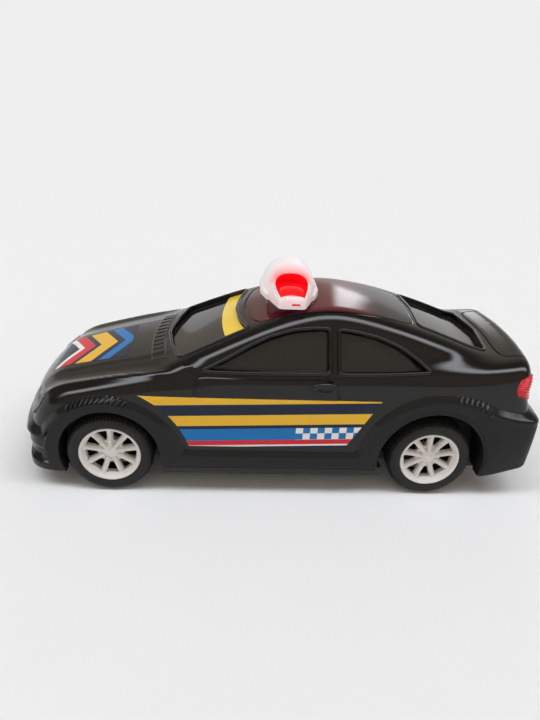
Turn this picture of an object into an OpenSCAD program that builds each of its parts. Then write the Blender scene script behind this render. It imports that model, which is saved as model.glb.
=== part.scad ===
// Push-along toy police coupe: a moulded shell on a chassis tray, a smoked glazing insert,
// a roof light bar, two wheel sets and a friction drive on the rear axle.
// X runs forwards, Y to the car's left and Z up from the floor; the origin is under its middle.

/* [Body] */
// Length over the bumpers
body_len = 222; // [206:1:238]
// Width across the doors
door_w = 82.6; // [79:0.2:87]
// Height of the roof crown above the floor
roof_h = 79.3; // [77:0.1:82]
// Height of the shoulder line at the foot of the windscreen
belt_h = 56.5; // [54.5:0.1:58]
// Wall of the moulded shell
wall = 1.6; // [1.2:0.1:2]
// How far bumpers, sills and wheel flares stand proud of the body
clad_t = 2.2; // [1.6:0.1:2.6]
// Height of the shell's lower edge along the sills
part_z = 13; // [12:0.25:14]

/* [Wheels] */
// Distance between the axles, as a share of the length
wheelbase_share = 0.6081; // [0.58:0.001:0.63]
// Front axle to the front of the bumper, as a share of the length
front_overhang_share = 0.18243; // [0.17:0.001:0.195]
// Outer diameter of the tyres
tyre_d = 36; // [34:0.2:37]
// Width of the tyres
tyre_w = 13; // [10:0.2:14]
// Distance over the outer faces of the wheels
track_w = 84; // [82:0.2:86]
// Diameter of the rim lip
rim_d = 25.8; // [22:0.2:27]
// Number of spokes
spoke_n = 9; // [5:1:12]
// Diameter of the steel axles
axle_d = 3; // [2.4:0.1:3.4]

/* [Light bar] */
// Length of the light bar across the roof
bar_len = 50; // [42:0.5:54]
// Width of the light bar at its middle
bar_w = 23; // [19:0.5:25]
// Height of the light bar above the roof
bar_h = 13; // [11:0.5:16]

/* [Chassis] */
// Height of the tray's underside above the floor
tray_z = 8.5; // [7.5:0.1:9]
// Thickness of the tray floor
tray_t = 1.8; // [1.4:0.1:2]
// Diameter of the screw shanks
screw_d = 2.4; // [2:0.1:2.8]

/* [Friction drive] */
// Tooth size of the drive gears, as pitch diameter over teeth
gear_m = 0.8; // [0.74:0.01:0.84]
// Teeth on the rear axle's gear
axle_gear_n = 18; // [17:1:19]
// Teeth on the idler's large wheel
idler_gear_n = 22; // [21:1:23]
// Teeth on both pinions
pinion_n = 10; // [10:1:11]
// Diameter of the flywheel
flywheel_d = 22; // [18:0.5:22.5]
// Thickness of the flywheel
flywheel_t = 7; // [5:0.5:8]

/* [Fits] */
// Radial room of a turning shaft in its hole
run_gap = 0.08; // [0.04:0.01:0.1]
// Radial room of a pushed-on hub or bush
push_gap = 0.02; // [0.01:0.01:0.04]
// Room round a moulding that drops into another
seat_gap = 0.25; // [0.15:0.05:0.35]

/* [Hidden] */
$fn = 48;
overrun = 1;
whole_turn = 360;

// Places along the car are shares of its length, counted forwards from the middle
function along(share) = share * body_len;

// Wheel places
axle_z = tyre_d / 2;
wheelbase = along(wheelbase_share);
front_overhang = along(front_overhang_share);
front_x = body_len / 2 - front_overhang;
rear_x = front_x - wheelbase;
wheel_y = track_w / 2;

// Lower body: bonnet, boot, flanks, nose and tail
half_w = door_w / 2;
nose_slant_share = 0.9;
nose_x = body_len / 2 - clad_t / nose_slant_share;
tail_x = body_len / 2 - clad_t;
bonnet_foot_x = along(0.2095);
bonnet_foot_sink = 0.5;
bonnet_slope = 0.19;
bonnet_fall = 3.6;
shoulder_rise_slope = 0.035;
shoulder_ref_x = along(0.1734);
top_blend = 3;
top_crown = 2.1;
boot_lip = 1.1;
boot_lip_x = along(0.4122);
boot_lip_len = along(0.0631);
boot_lip_soft_share = 0.5;
flank_z = 30;
flank_span = 25;
flank_tuck = 1.6;
front_taper = 3.5;
front_taper_x = along(0.1734);
front_taper_len = along(0.2928);
rear_taper = 3;
rear_taper_x = along(0.2095);
rear_taper_len = along(0.2703);
nose_bow = 5.8;
nose_rake_slope = 0.55;
nose_rake_z = 31;
nose_rake_blend = 8;
tail_bow = 9;
tail_rake_slope = 0.13;
tail_rake_z = 40;
tail_rake_blend = 6;
edge_blend = 9;
nose_blend = 8;

// Cabin: windscreen, roof, rear window and leaning side glass
screen_foot_x = along(0.196);
screen_foot_rise = 0.9;
screen_slope = 0.467;
screen_crown = 1.2;
screen_half_w = 30;
screen_face_share = 0.906;
roof_top_x = along(-0.0878);
roof_sag = 7;
roof_sag_len = along(0.2027);
roof_crown = 1.5;
roof_half_w = 25;
rear_foot_x = along(-0.4032);
rear_foot_rise = 5.9;
rear_slope = 0.35;
rear_crown = 1;
rear_half_w = 26;
rear_face_share = 0.945;
cabin_inset = 3.7;
cabin_lean_slope = 0.645;
cabin_face_share = 0.84;
cabin_rear_taper = 7.5;
cabin_rear_taper_x = along(-0.1419);
cabin_rear_taper_len = along(0.2477);
cabin_front_taper = 3.5;
cabin_front_taper_x = along(0.0383);
cabin_front_taper_len = along(0.1577);
cabin_floor_drop = 12;
cabin_tail_in = 6;
roof_blend = 12;
rail_blend = 5;
cabin_blend = 4;

// A soft minimum and maximum: two surfaces melt together over the width k
function soft_min(a, b, k) = min(a, b) - pow(max(k - abs(a - b), 0), 2) / (4 * k);
function soft_max(a, b, k) = -soft_min(-a, -b, k);
function soft_ramp(v, k) = soft_max(v, 0, k);
function over(v, from, len) = pow(max(v - from, 0) / len, 2);

function bonnet_z(x) =
  belt_h - bonnet_foot_sink - bonnet_slope * (x - bonnet_foot_x)
  - bonnet_fall * over(x, bonnet_foot_x, nose_x - bonnet_foot_x);
function shoulder_z(x) = belt_h + shoulder_rise_slope * (shoulder_ref_x - x);
function lower_top(x, y) =
  soft_min(bonnet_z(x), shoulder_z(x), top_blend) - top_crown * pow(y / half_w, 2)
  + boot_lip * soft_ramp((-x - boot_lip_x) / boot_lip_len, boot_lip_soft_share);
function flank_y(x, z) =
  half_w - flank_tuck * pow((z - flank_z) / flank_span, 2)
  - front_taper * over(x, front_taper_x, front_taper_len)
  - rear_taper * over(-x, rear_taper_x, rear_taper_len);
function nose_at(y, z) =
  nose_x - nose_bow * pow(y / half_w, 2)
  - nose_rake_slope * soft_ramp(z - nose_rake_z, nose_rake_blend);
function tail_at(y, z) =
  tail_x - tail_bow * pow(y / half_w, 2)
  - tail_rake_slope * soft_ramp(z - tail_rake_z, tail_rake_blend);

// Distance outside the lower body, negative inside
function lower_body(x, y, z) =
  let (top_and_side = soft_max(z - lower_top(x, y), y - flank_y(x, z), edge_blend))
  let (with_nose = soft_max(top_and_side, nose_slant_share * (x - nose_at(y, z)), nose_blend))
  soft_max(with_nose, -x - tail_at(y, z), edge_blend);

function screen_z(x, y) =
  belt_h + screen_foot_rise + screen_slope * (screen_foot_x - x)
  + screen_crown * (1 - pow(y / screen_half_w, 2));
function roof_z(x, y) =
  roof_h - roof_sag * pow((x - roof_top_x) / roof_sag_len, 2)
  - roof_crown * pow(y / roof_half_w, 2);
function rear_glass_z(x, y) =
  belt_h + rear_foot_rise + rear_slope * (x - rear_foot_x)
  + rear_crown * (1 - pow(y / rear_half_w, 2));
function cabin_y(x, z) =
  half_w - cabin_inset - cabin_lean_slope * max(z - belt_h, 0)
  - cabin_rear_taper * over(-x, -cabin_rear_taper_x, cabin_rear_taper_len)
  - cabin_front_taper * over(x, cabin_front_taper_x, cabin_front_taper_len);

// Distance outside the cabin, negative inside
function cabin(x, y, z) =
  let (front = soft_max(screen_face_share * (z - screen_z(x, y)), z - roof_z(x, y), roof_blend))
  let (arch = soft_max(front, rear_face_share * (z - rear_glass_z(x, y)), roof_blend))
  let (closed = soft_max(arch, cabin_face_share * (y - cabin_y(x, z)), rail_blend))
  max(closed, cabin_tail_in - x - tail_at(y, z), shoulder_z(x) - cabin_floor_drop - z);

function outside(p) =
  soft_min(lower_body(p.x, abs(p.y), p.z), cabin(p.x, abs(p.y), p.z), cabin_blend);

// The skin is found along rays that leave a line inside the car: straight out along the middle
// and fanned round at both ends. A ray is [start x, fan angle, angle round the line].

ray_z = 30;
ray_half = along(0.2973);
ray_far = 150;
halvings = 18;
right_angle = 90;
skin_floor = -20;
under_turn = 28;
under_rays = 4;
// Steps round an end, along the middle and over the top of a skin
body_steps = [11, 19, 30];
clad_steps = [8, 8, 18];
inner_steps = [5, 15, 28];
function ray_dir(ray) =
  [sin(ray[1]), cos(ray[1]) * cos(ray[2]), cos(ray[1]) * sin(ray[2])];
function reach(start, dir, level, near, far, left) =
  let (mid = (near + far) / 2, p = start + mid * dir)
  left == 0 ? p :
  outside(p) < level && p.z > skin_floor
    ? reach(start, dir, level, mid, far, left - 1)
    : reach(start, dir, level, near, mid, left - 1);
function skin_point(ray, level) =
  reach([ray[0], 0, ray_z], ray_dir(ray), level, 0, ray_far, halvings);
function skin_top(x, y) = reach([x, y, ray_z], [0, 0, 1], 0, 0, ray_far, halvings).z;
function skin_side(x, z) = reach([x, 0, z], [0, 1, 0], 0, 0, ray_far, halvings).y;
function stations(cap, span) = concat(
  [for (i = [1:cap]) [-ray_half, -right_angle * (1 - i / (cap + 1))]],
  [for (i = [0:span]) [ray_half * (2 * i / span - 1), 0]],
  [for (i = [cap:-1:1]) [ray_half, right_angle * (1 - i / (cap + 1))]]
);
function ring_turns(n) =
  let (top = whole_turn / 2 + 2 * under_turn, under = whole_turn - top)
  concat(
    [for (j = [0:n]) top * j / n - under_turn],
    [for (j = [1:under_rays]) top - under_turn + under * j / (under_rays + 1)]
  );

// Closed skin at a distance outside (or inside, if negative) the body, open-ended downwards
module skin_solid(level, steps) {
  list = stations(steps[0], steps[1]);
  turns = ring_turns(steps[2]);
  rings = len(list);
  around = len(turns);
  ring_points = [for (s = list, turn = turns) skin_point([s[0], s[1], turn], level)];
  ends = [
    skin_point([-ray_half, -right_angle, 0], level),
    skin_point([ray_half, right_angle, 0], level)
  ];
  tail_tip = len(ring_points);
  function at(i, j) = i * around + j % around;
  side_faces = [
    for (i = [0:rings - 2], j = [0:around - 1], half = [0, 1])
      half == 0 ? [at(i, j), at(i + 1, j + 1), at(i, j + 1)]
                : [at(i, j), at(i + 1, j), at(i + 1, j + 1)]
  ];
  end_faces = [
    for (j = [0:around - 1], half = [0, 1])
      half == 0 ? [tail_tip, at(0, j), at(0, j + 1)]
                : [tail_tip + 1, at(rings - 1, j + 1), at(rings - 1, j)]
  ];
  polyhedron(concat(ring_points, ends), concat(side_faces, end_faces), convexity = 8);
}

// A panel of the skin between two distances, over a grid of rays
module skin_panel(rays, outer, inner) {
  rows = len(rays);
  cols = len(rays[0]);
  grid = [for (level = [outer, inner], row = rays, ray = row) skin_point(ray, level)];
  function at(side, i, j) = (side * rows + i) * cols + j;
  function quad(a, b, c, d) = [[a, b, c], [a, c, d]];
  faces = concat(
    [for (i = [0:rows - 2], j = [0:cols - 2])
      each quad(at(0, i, j), at(0, i, j + 1), at(0, i + 1, j + 1), at(0, i + 1, j))],
    [for (i = [0:rows - 2], j = [0:cols - 2])
      each quad(at(1, i, j), at(1, i + 1, j), at(1, i + 1, j + 1), at(1, i, j + 1))],
    [for (i = [0:rows - 2])
      each quad(at(0, i, 0), at(0, i + 1, 0), at(1, i + 1, 0), at(1, i, 0))],
    [for (i = [0:rows - 2])
      each quad(at(0, i + 1, cols - 1), at(0, i, cols - 1), at(1, i, cols - 1),
                at(1, i + 1, cols - 1))],
    [for (j = [0:cols - 2])
      each quad(at(0, 0, j + 1), at(0, 0, j), at(1, 0, j), at(1, 0, j + 1))],
    [for (j = [0:cols - 2])
      each quad(at(0, rows - 1, j), at(0, rows - 1, j + 1), at(1, rows - 1, j + 1),
                at(1, rows - 1, j))]
  );
  polyhedron(grid, faces, convexity = 6);
}

// Bumpers, sills and flares as seen from the side
shell_fn = 18;
arch_fn = 44;
arch_gap = 3.4;
arch_r = tyre_d / 2 + arch_gap;
arch_inner_y = 22;
flare_band = 7.6;
flare_foot = 3.4;
flare_foot_power = 1.5;
flare_step = 6;
// The flare grows a little from its crown to its feet
function flare_r(turn) =
  arch_r + flare_band + flare_foot * pow(1 - sin(turn), flare_foot_power);
function flare_point(x, turn) = [x, axle_z] + flare_r(turn) * [cos(turn), sin(turn)];
sill_top = 20.8;
bumper_low = 8;
front_bumper_top = 28.5;
rear_shelf_z = 39;
rear_shelf_shares = [[0, 1], [0.3, 0.955], [0.52, 0.83], [0.72, 0.745]];
rear_lift = 8;
tail_len = body_len / 2 + rear_x;
end_x = body_len / 2 + clad_t;
// Everything above the lower edge of the bumpers and sills
module above_skirt() {
  polygon([
    [-end_x, roof_h], [-end_x, bumper_low + rear_lift], [rear_x - arch_r, bumper_low],
    [rear_x, bumper_low], [rear_x, part_z], [front_x, part_z], [front_x, bumper_low],
    [end_x, bumper_low], [end_x, roof_h]
  ]);
}
module clad_outline() {
  intersection() {
    above_skirt();
    union() {
      for (x = [front_x, rear_x]) {
        polygon([for (turn = [0:flare_step:whole_turn / 2]) flare_point(x, turn)]);
        translate([x - flare_r(0), 0]) square([2 * flare_r(0), axle_z]);
      }
      translate([rear_x, 0]) square([wheelbase, sill_top]);
      translate([front_x, 0]) square([end_x - front_x, front_bumper_top]);
      polygon(concat(
        [for (s = rear_shelf_shares) [rear_x - s[0] * tail_len, axle_z + s[1] * flare_r(right_angle)]],
        [[-end_x, rear_shelf_z], [-end_x, 0], [rear_x, 0]]
      ));
    }
  }
}
// Air intake pressed into the front bumper
intake_w = 46;
intake_h = 7;
intake_z = 18.5;
intake_r = 3;
module intake() {
  translate([front_x, 0, intake_z]) rotate([right_angle, 0, right_angle])
    linear_extrude(front_overhang + clad_t) offset(r = intake_r)
      square([intake_w - 2 * intake_r, intake_h - 2 * intake_r], center = true);
}
module side_prism() {
  rotate([right_angle, 0, 0]) linear_extrude(2 * body_len, center = true) children();
}

// Openings for the glass
side_glass_rear_x = along(-0.2554);
side_glass_len = along(0.4063);
side_glass_sink = 0.8;
side_glass_h = 16.3;
side_glass_shares = [
  [0, 0.13], [0.05, 0.52], [0.153, 0.84], [0.3, 0.98], [0.427, 1],
  [0.56, 0.94], [0.695, 0.76], [0.87, 0.36], [1, 0]
];
side_glass_in = 20;
glass_corner_r = 1.5;
door_post_x = along(-0.0914);
door_post_w = 5;
module side_glass_outline() {
  difference() {
    polygon([
      for (s = side_glass_shares)
        [side_glass_rear_x + s[0] * side_glass_len, belt_h - side_glass_sink + s[1] * side_glass_h]
    ]);
    translate([door_post_x - door_post_w / 2, 0]) square([door_post_w, roof_h]);
  }
}
screen_foot_half = 28.4;
screen_head_half = 24;
screen_head_x = along(0.0653);
screen_bow = 5.6;
screen_margin = 2;
screen_cut_drop = 3;
module screen_outline() {
  polygon([
    [screen_foot_x - screen_margin, -screen_foot_half],
    [screen_foot_x + screen_bow / 2, -screen_foot_half / 2],
    [screen_foot_x + screen_bow, 0],
    [screen_foot_x + screen_bow / 2, screen_foot_half / 2],
    [screen_foot_x - screen_margin, screen_foot_half],
    [screen_head_x, screen_head_half],
    [screen_head_x + screen_bow - screen_margin, 0],
    [screen_head_x, -screen_head_half]
  ]);
}
rear_head_x = along(-0.2568);
rear_head_half = 19.5;
rear_sill_x = along(-0.3806);
rear_sill_half = 21;
rear_bow = 3;
module rear_glass_outline() {
  polygon([
    [rear_head_x, -rear_head_half],
    [rear_head_x - rear_bow / 2, 0],
    [rear_head_x, rear_head_half],
    [rear_sill_x, rear_sill_half],
    [rear_sill_x - rear_bow, 0],
    [rear_sill_x, -rear_sill_half]
  ]);
}
module rounded(r) { offset(r = r) offset(delta = -r) children(); }

// Lamp pockets on the corners: [fan angle, angle round] of the four corners of each lens
headlight_turns = [[42, 18], [48, 1], [62, 2], [58.4, 25.6]];
tail_light_turns = [[-39, 36], [-41, 23], [-55, 26], [-55, 43]];
lamp_proud = 0.3;
lamp_depth = 2.6;
lamp_steps = 6;
lamp_far = 50;
function grown(corners, gap) =
  let (middle = (corners[0] + corners[1] + corners[2] + corners[3]) / 4)
  let (turn = atan(gap / lamp_far))
  [for (c = corners) [for (k = [0, 1]) c[k] + turn * sign(c[k] - middle[k])]];
function lamp_rays(start_x, c, side) = [
  for (i = [0:lamp_steps]) [
    for (j = [0:lamp_steps])
      let (u = i / lamp_steps, v = j / lamp_steps)
      let (angles = (1 - u) * ((1 - v) * c[0] + v * c[1]) + u * ((1 - v) * c[3] + v * c[2]))
      [start_x, angles[0], side > 0 ? angles[1] : whole_turn / 2 - angles[1]]
  ]
];
function ordered(rays, swap) = swap ? [for (row = rays) [for (j = [len(row) - 1:-1:0]) row[j]]] : rays;
module lamp(start_x, corners, side, outer, inner) {
  swap = (start_x > 0) != (side > 0);
  skin_panel(ordered(lamp_rays(start_x, corners, side), swap), outer, inner);
}
module lamp_pockets() {
  pocket_in = wall + lamp_depth + overrun;
  for (side = [1, -1]) {
    lamp(ray_half, grown(headlight_turns, seat_gap), side, clad_t + overrun, -pocket_in);
    lamp(-ray_half, grown(tail_light_turns, seat_gap), side, clad_t + overrun, -pocket_in);
  }
}

// Screw bosses that hang from the shell onto the tray
boss_d = 7;
boss_front_x = along(0.4234);
boss_rear_x = along(-0.4122);
boss_y = 13;
boss_places = [for (x = [boss_front_x, boss_rear_x], side = [1, -1]) [x, side * boss_y]];
boss_foot_z = tray_z + tray_t + seat_gap;
pilot_gap = 0.05;
pilot_depth = 14;
screw_r = screw_d / 2;
screw_head_d = 2 * screw_d;
screw_head_t = 1.2;

// Moulded relief: cowl vent slots, bonnet creases, flare ribs, side louvres and door outline
relief_r = 0.45;
relief_fn = 4;
vent_n = 11;
vent_pitch = 4.2;
vent_len = 5;
vent_x = along(0.2342);
rib_n = 12;
rib_from = 62;
rib_to = 132;
rib_len = 3;
louvre_n = 6;
louvre_from_share = 0.3;
louvre_step_share = 0.07;
door_front_x = along(0.1622);
door_rear_x = along(-0.1036);
module bead(ends) {
  hull() for (p = ends) translate(p) sphere(r = relief_r, $fn = relief_fn);
}
module cowl_vents() {
  for (i = [0:vent_n - 1]) {
    y = (i - (vent_n - 1) / 2) * vent_pitch;
    bead([for (x = [vent_x + vent_len / 2, vent_x - vent_len / 2]) [x, y, skin_top(x, y)]]);
  }
}
module ledge_bead(x, z) {
  y = flank_y(x, z) + clad_t;
  for (side = [1, -1]) bead([[x, side * y, z], [x, side * (y - rib_len), z]]);
}
module flare_ribs() {
  for (i = [0:rib_n - 1]) {
    p = flare_point(front_x, rib_from + (rib_to - rib_from) * i / (rib_n - 1));
    ledge_bead(p.x, p.y);
  }
}
module side_louvres() {
  for (i = [0:louvre_n - 1]) {
    share = louvre_from_share + i * louvre_step_share;
    ledge_bead(rear_x - share * tail_len, axle_z + flare_r(right_angle) * lookup(share, rear_shelf_shares));
  }
}
module door_lines() {
  heights = [sill_top, (sill_top + belt_h - edge_blend) / 2, belt_h - edge_blend];
  for (side = [1, -1], x = [door_front_x, door_rear_x], k = [0, 1])
    bead([for (z = [heights[k], heights[k + 1]]) [x, side * skin_side(x, z), z]]);
}

// Light bar places
bar_x = along(-0.0122);
bar_pad_w = 20;
bar_pad_len = 36;
bar_pad_r = 4;
bar_pad_top = skin_top(bar_x - bar_w / 2, 0);
bar_pad_h = bar_pad_top - skin_top(bar_x, 0);
bar_seat_z = bar_pad_top + seat_gap;
bar_peg_d = 4;
bar_peg_y = 10;
bar_peg_drop = bar_pad_h + wall + seat_gap;

// The one-piece body moulding in gloss black
module body_shell() {
  $fn = shell_fn;
  color("#141415") difference() {
    union() {
      difference() {
        union() {
          intersection() {
            skin_solid(0, body_steps);
            side_prism() translate([-body_len, part_z]) square([2 * body_len, roof_h]);
          }
          difference() {
            intersection() {
              skin_solid(clad_t, clad_steps);
              side_prism() clad_outline();
            }
            intake();
          }
          translate([bar_x, 0, belt_h]) linear_extrude(bar_pad_top - belt_h)
            rounded(bar_pad_r) square([bar_pad_w, bar_pad_len], center = true);
        }
        skin_solid(-wall, inner_steps);
      }
      intersection() {
        for (p = boss_places)
          translate([p.x, p.y, boss_foot_z]) cylinder(d = boss_d, h = roof_h);
        skin_solid(-wall / 2, inner_steps);
      }
    }
    for (side = [1, -1])
      translate([0, side * (side_glass_in + body_len / 2), 0]) rotate([right_angle, 0, 0])
        linear_extrude(body_len, center = true) rounded(glass_corner_r) side_glass_outline();
    translate([0, 0, belt_h - screen_cut_drop]) linear_extrude(roof_h) {
      rounded(glass_corner_r) screen_outline();
      rounded(glass_corner_r) rear_glass_outline();
    }
    for (x = [front_x, rear_x], side = [1, -1])
      translate([x, side * (arch_inner_y + body_len / 2), axle_z]) rotate([right_angle, 0, 0])
        cylinder(r = arch_r, h = body_len, center = true, $fn = arch_fn);
    lamp_pockets();
    for (p = boss_places) translate([p.x, p.y, boss_foot_z - overrun])
      cylinder(r = screw_r + pilot_gap, h = pilot_depth + overrun);
    for (side = [1, -1]) translate([bar_x, side * bar_peg_y, belt_h])
      cylinder(d = bar_peg_d + 2 * seat_gap, h = roof_h);
    cowl_vents();
    flare_ribs();
    side_louvres();
    door_lines();
  }
}

// Smoked glazing: one clear canopy that lies against the inside of the cabin
canopy_gap = 0.35;
canopy_t = 1.2;
canopy_rear_turn = -31;
canopy_front_x = along(0.2207);
canopy_low_turn = 30;
module window_insert() {
  rays = [
    for (turn = ring_turns(inner_steps[2]))
      if (turn > canopy_low_turn && turn < whole_turn / 2 - canopy_low_turn) [
        for (s = stations(inner_steps[0], inner_steps[1]))
          if (s[0] < canopy_front_x && s[1] > canopy_rear_turn) [s[0], s[1], turn]
      ]
  ];
  color("#3a3833", 0.7)
    skin_panel(rays, -wall - canopy_gap, -wall - canopy_gap - canopy_t);
}

// Interior mirror on a stem under the windscreen
mirror_x = along(0.1171);
mirror_w = 9.5;
mirror_h = 3.6;
mirror_t = 1.4;
mirror_drop = 3.4;
mirror_stem_d = 1.6;
module rear_view_mirror() {
  under = -wall - canopy_gap - canopy_t - seat_gap;
  roof_point = skin_point([mirror_x + mirror_stem_d / 2, 0, right_angle], under);
  color("#b9bab8") {
    translate([mirror_x, 0, roof_point.z - mirror_drop - mirror_h / 2])
      cube([mirror_t, mirror_w, mirror_h], center = true);
    translate([mirror_x, 0, roof_point.z - mirror_drop - mirror_h / 2])
      cylinder(d = mirror_stem_d, h = mirror_drop + mirror_h / 2);
  }
}

module headlight(side) {
  color("#d8dadb", 0.8)
    lamp(ray_half, headlight_turns, side, lamp_proud, -wall - lamp_depth);
}
module headlight_left() { headlight(1); }
module headlight_right() { headlight(-1); }
module tail_light(side) {
  color("#c8202a", 0.9)
    lamp(-ray_half, tail_light_turns, side, lamp_proud, -wall - lamp_depth);
}
module tail_light_left() { tail_light(1); }
module tail_light_right() { tail_light(-1); }

// Light bar: a milky boat-shaped housing, arched in the middle, with a lens nest at each end
bar_end_w = 10;
bar_end_h = 5.2;
bar_arch_half = 6;
bar_edge_r = 2;
bar_end_t = 1;
bar_rim = 1.8;
bar_nest_floor = 2.2;
bar_rib_half = 1.2;
bar_hull_fn = 32;
module bar_arch(width, height, half_len) {
  rotate([right_angle, 0, 0]) linear_extrude(2 * half_len, center = true)
    intersection() {
      translate([0, height - width / 2]) circle(d = width, $fn = bar_hull_fn);
      translate([-width / 2, 0]) square([width, height]);
    }
}
module bar_form(shrink, floor_z, half_from, half_to) {
  hull() {
    translate([0, 0, floor_z]) bar_arch(bar_w - 2 * shrink, bar_h - shrink - floor_z, half_from);
    for (side = [1, -1]) translate([0, side * (half_to - bar_edge_r - bar_end_t / 2), floor_z])
      linear_extrude(bar_end_h - floor_z) offset(r = bar_edge_r - shrink / 2)
        square([bar_end_w - 2 * bar_edge_r, bar_end_t], center = true);
  }
}
module bar_half(side) {
  translate([-bar_w, side > 0 ? bar_rib_half : -bar_rib_half - bar_len, 0])
    cube([2 * bar_w, bar_len, 2 * bar_h]);
}
module light_bar_housing() {
  color("#f6f0ef", 0.85) translate([bar_x, 0, bar_seat_z]) {
    difference() {
      bar_form(0, 0, bar_arch_half, bar_len / 2);
      for (side = [1, -1]) intersection() {
        bar_nest(bar_rim, bar_nest_floor);
        bar_half(side);
      }
    }
    for (side = [1, -1]) translate([0, side * bar_peg_y, -bar_peg_drop])
      cylinder(d = bar_peg_d, h = bar_peg_drop + bar_nest_floor / 2);
  }
}
// The nest runs out through the sloping end of the housing, above the end lip
nest_rise = 4;
module bar_nest(rim, floor_z) {
  hull() {
    translate([0, 0, floor_z])
      bar_arch(bar_w - 4 * rim, bar_h - 2 * rim - floor_z, bar_arch_half);
    for (side = [1, -1]) translate([0, side * (bar_len / 2 - rim - bar_edge_r), floor_z])
      linear_extrude(bar_end_h + nest_rise - floor_z) offset(r = bar_edge_r - rim / 2)
        square([bar_end_w - 2 * bar_edge_r, bar_end_t], center = true);
  }
}
lens_top_drop = 1.6;
module bar_lens(side) {
  translate([bar_x, 0, bar_seat_z]) difference() {
    intersection() {
      translate([0, 0, -lens_top_drop])
        bar_nest(bar_rim + seat_gap, bar_nest_floor + lens_top_drop + seat_gap);
      translate([0, side * seat_gap, 0]) bar_half(side);
      translate([-bar_w, -bar_len, bar_nest_floor + seat_gap])
        cube([2 * bar_w, 2 * bar_len, bar_h]);
    }
  }
}
module light_bar_lens_left() { color("#f21a2c", 0.85) bar_lens(1); }
module light_bar_lens_right() { color("#2358d6", 0.85) bar_lens(-1); }

// Chassis tray with axle saddles, motor window, screw pads and stiffening ribs
tray_edge_in = 1.2;
tray_wall = 1.6;
tray_front_x = along(0.464);
tray_rear_x = along(-0.4369);
tray_tip_half = 24;
tray_end_half = 32;
tray_end_taper = 6;
tray_corner_r = 3;
tray_lip_gap = 0.3;
well_room = 2.2;
well_side_room = 1.4;
well_inner_y = wheel_y - tyre_w - well_side_room;
saddle_y = 20;
saddle_t = 4;
saddle_w = 10;
saddle_over = 5;
tray_rib_t = 1.4;
tray_rib_h = 2.4;
tray_rib_y = 12;
tray_rib_front_x = along(0.2523);
tray_rib_rear_x = along(-0.0721);
module tray_outline() {
  difference() {
    rounded(tray_corner_r) {
      translate([rear_x, tray_edge_in - half_w]) square([wheelbase, 2 * (half_w - tray_edge_in)]);
      polygon([
        for (s = [1, -1]) each [
          [s > 0 ? tray_front_x : tray_rear_x, s * tray_tip_half],
          [s > 0 ? tray_front_x - tray_end_taper : tray_rear_x + tray_end_taper, s * tray_end_half],
          [s > 0 ? tray_rear_x + tray_end_taper : tray_front_x - tray_end_taper, s * tray_end_half],
          [s > 0 ? tray_rear_x : tray_front_x, s * tray_tip_half]
        ]
      ]);
    }
    for (x = [front_x, rear_x], side = [1, -1])
      translate([x - tyre_d / 2 - well_room, side > 0 ? well_inner_y : -well_inner_y - body_len])
        square([tyre_d + 2 * well_room, body_len]);
  }
}
module tray_holes() {
  for (p = boss_places) translate([p.x, p.y, tray_z - overrun]) {
    cylinder(r = screw_r + seat_gap, h = tray_t + 2 * overrun);
    cylinder(d = screw_head_d + 2 * seat_gap, h = screw_seat() + overrun);
  }
}
function screw_seat() = screw_head_t / 2;
module chassis_base() {
  color("#1b1b1c") {
    difference() {
      union() {
        translate([0, 0, tray_z]) linear_extrude(tray_t) tray_outline();
        translate([0, 0, tray_z]) linear_extrude(part_z - tray_lip_gap - tray_z) difference() {
          tray_outline();
          offset(delta = -tray_wall) tray_outline();
        }
      }
      tray_holes();
      motor_window();
    }
    for (side = [1, -1]) saddle(side);
    for (side = [1, -1])
      translate([tray_rib_rear_x, side * tray_rib_y - tray_rib_t / 2, tray_z])
        cube([tray_rib_front_x - tray_rib_rear_x, tray_rib_t, tray_t + tray_rib_h]);
    for (x = motor_post_xs()) motor_post(x);
  }
}
module saddle(side) {
  top = axle_z + saddle_over;
  difference() {
    translate([front_x - saddle_w / 2, side * saddle_y - saddle_t / 2, tray_z])
      cube([saddle_w, saddle_t, top - tray_z]);
    translate([front_x, side * saddle_y, axle_z]) rotate([right_angle, 0, 0])
      cylinder(r = axle_d / 2 + run_gap, h = saddle_t + 2 * overrun, center = true);
    translate([front_x - axle_d / 2 - run_gap, side * saddle_y - saddle_t / 2 - overrun, axle_z])
      cube([axle_d + 2 * run_gap, saddle_t + 2 * overrun, saddle_over + overrun]);
    translate([front_x, side * saddle_y, top - keeper_screw_len])
      keeper_screw_spots() cylinder(r = keeper_screw_r + pilot_gap, h = keeper_screw_len + overrun);
  }
}

// Keeper that closes the front saddles over the axle
keeper_t = 1.6;
keeper_screw_r = 0.9;
keeper_screw_len = 5;
keeper_screw_x = 3.4;
keeper_gap = 0.1;
module keeper_screw_spots() { translate([keeper_screw_x, 0, 0]) children(); }
module front_axle_keeper() {
  top = axle_z + saddle_over + keeper_gap;
  color("#242426") difference() {
    union() {
      translate([front_x - saddle_w / 2, -saddle_y - saddle_t / 2, top])
        cube([saddle_w, 2 * saddle_y + saddle_t, keeper_t]);
      for (side = [1, -1]) intersection() {
        translate([front_x - axle_d / 2, side * saddle_y - saddle_t / 2, axle_z])
          cube([axle_d, saddle_t, saddle_over + keeper_gap + keeper_t]);
        difference() {
          translate([front_x - axle_d, side * saddle_y - saddle_t, axle_z])
            cube([2 * axle_d, 2 * saddle_t, 2 * saddle_over]);
          translate([front_x, side * saddle_y, axle_z]) rotate([right_angle, 0, 0])
            cylinder(r = axle_d / 2 + run_gap, h = 3 * saddle_t, center = true);
        }
      }
    }
    for (side = [1, -1]) translate([front_x, side * saddle_y, top - overrun])
      keeper_screw_spots() cylinder(r = keeper_screw_r + pilot_gap, h = keeper_t + 2 * overrun);
  }
}

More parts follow.
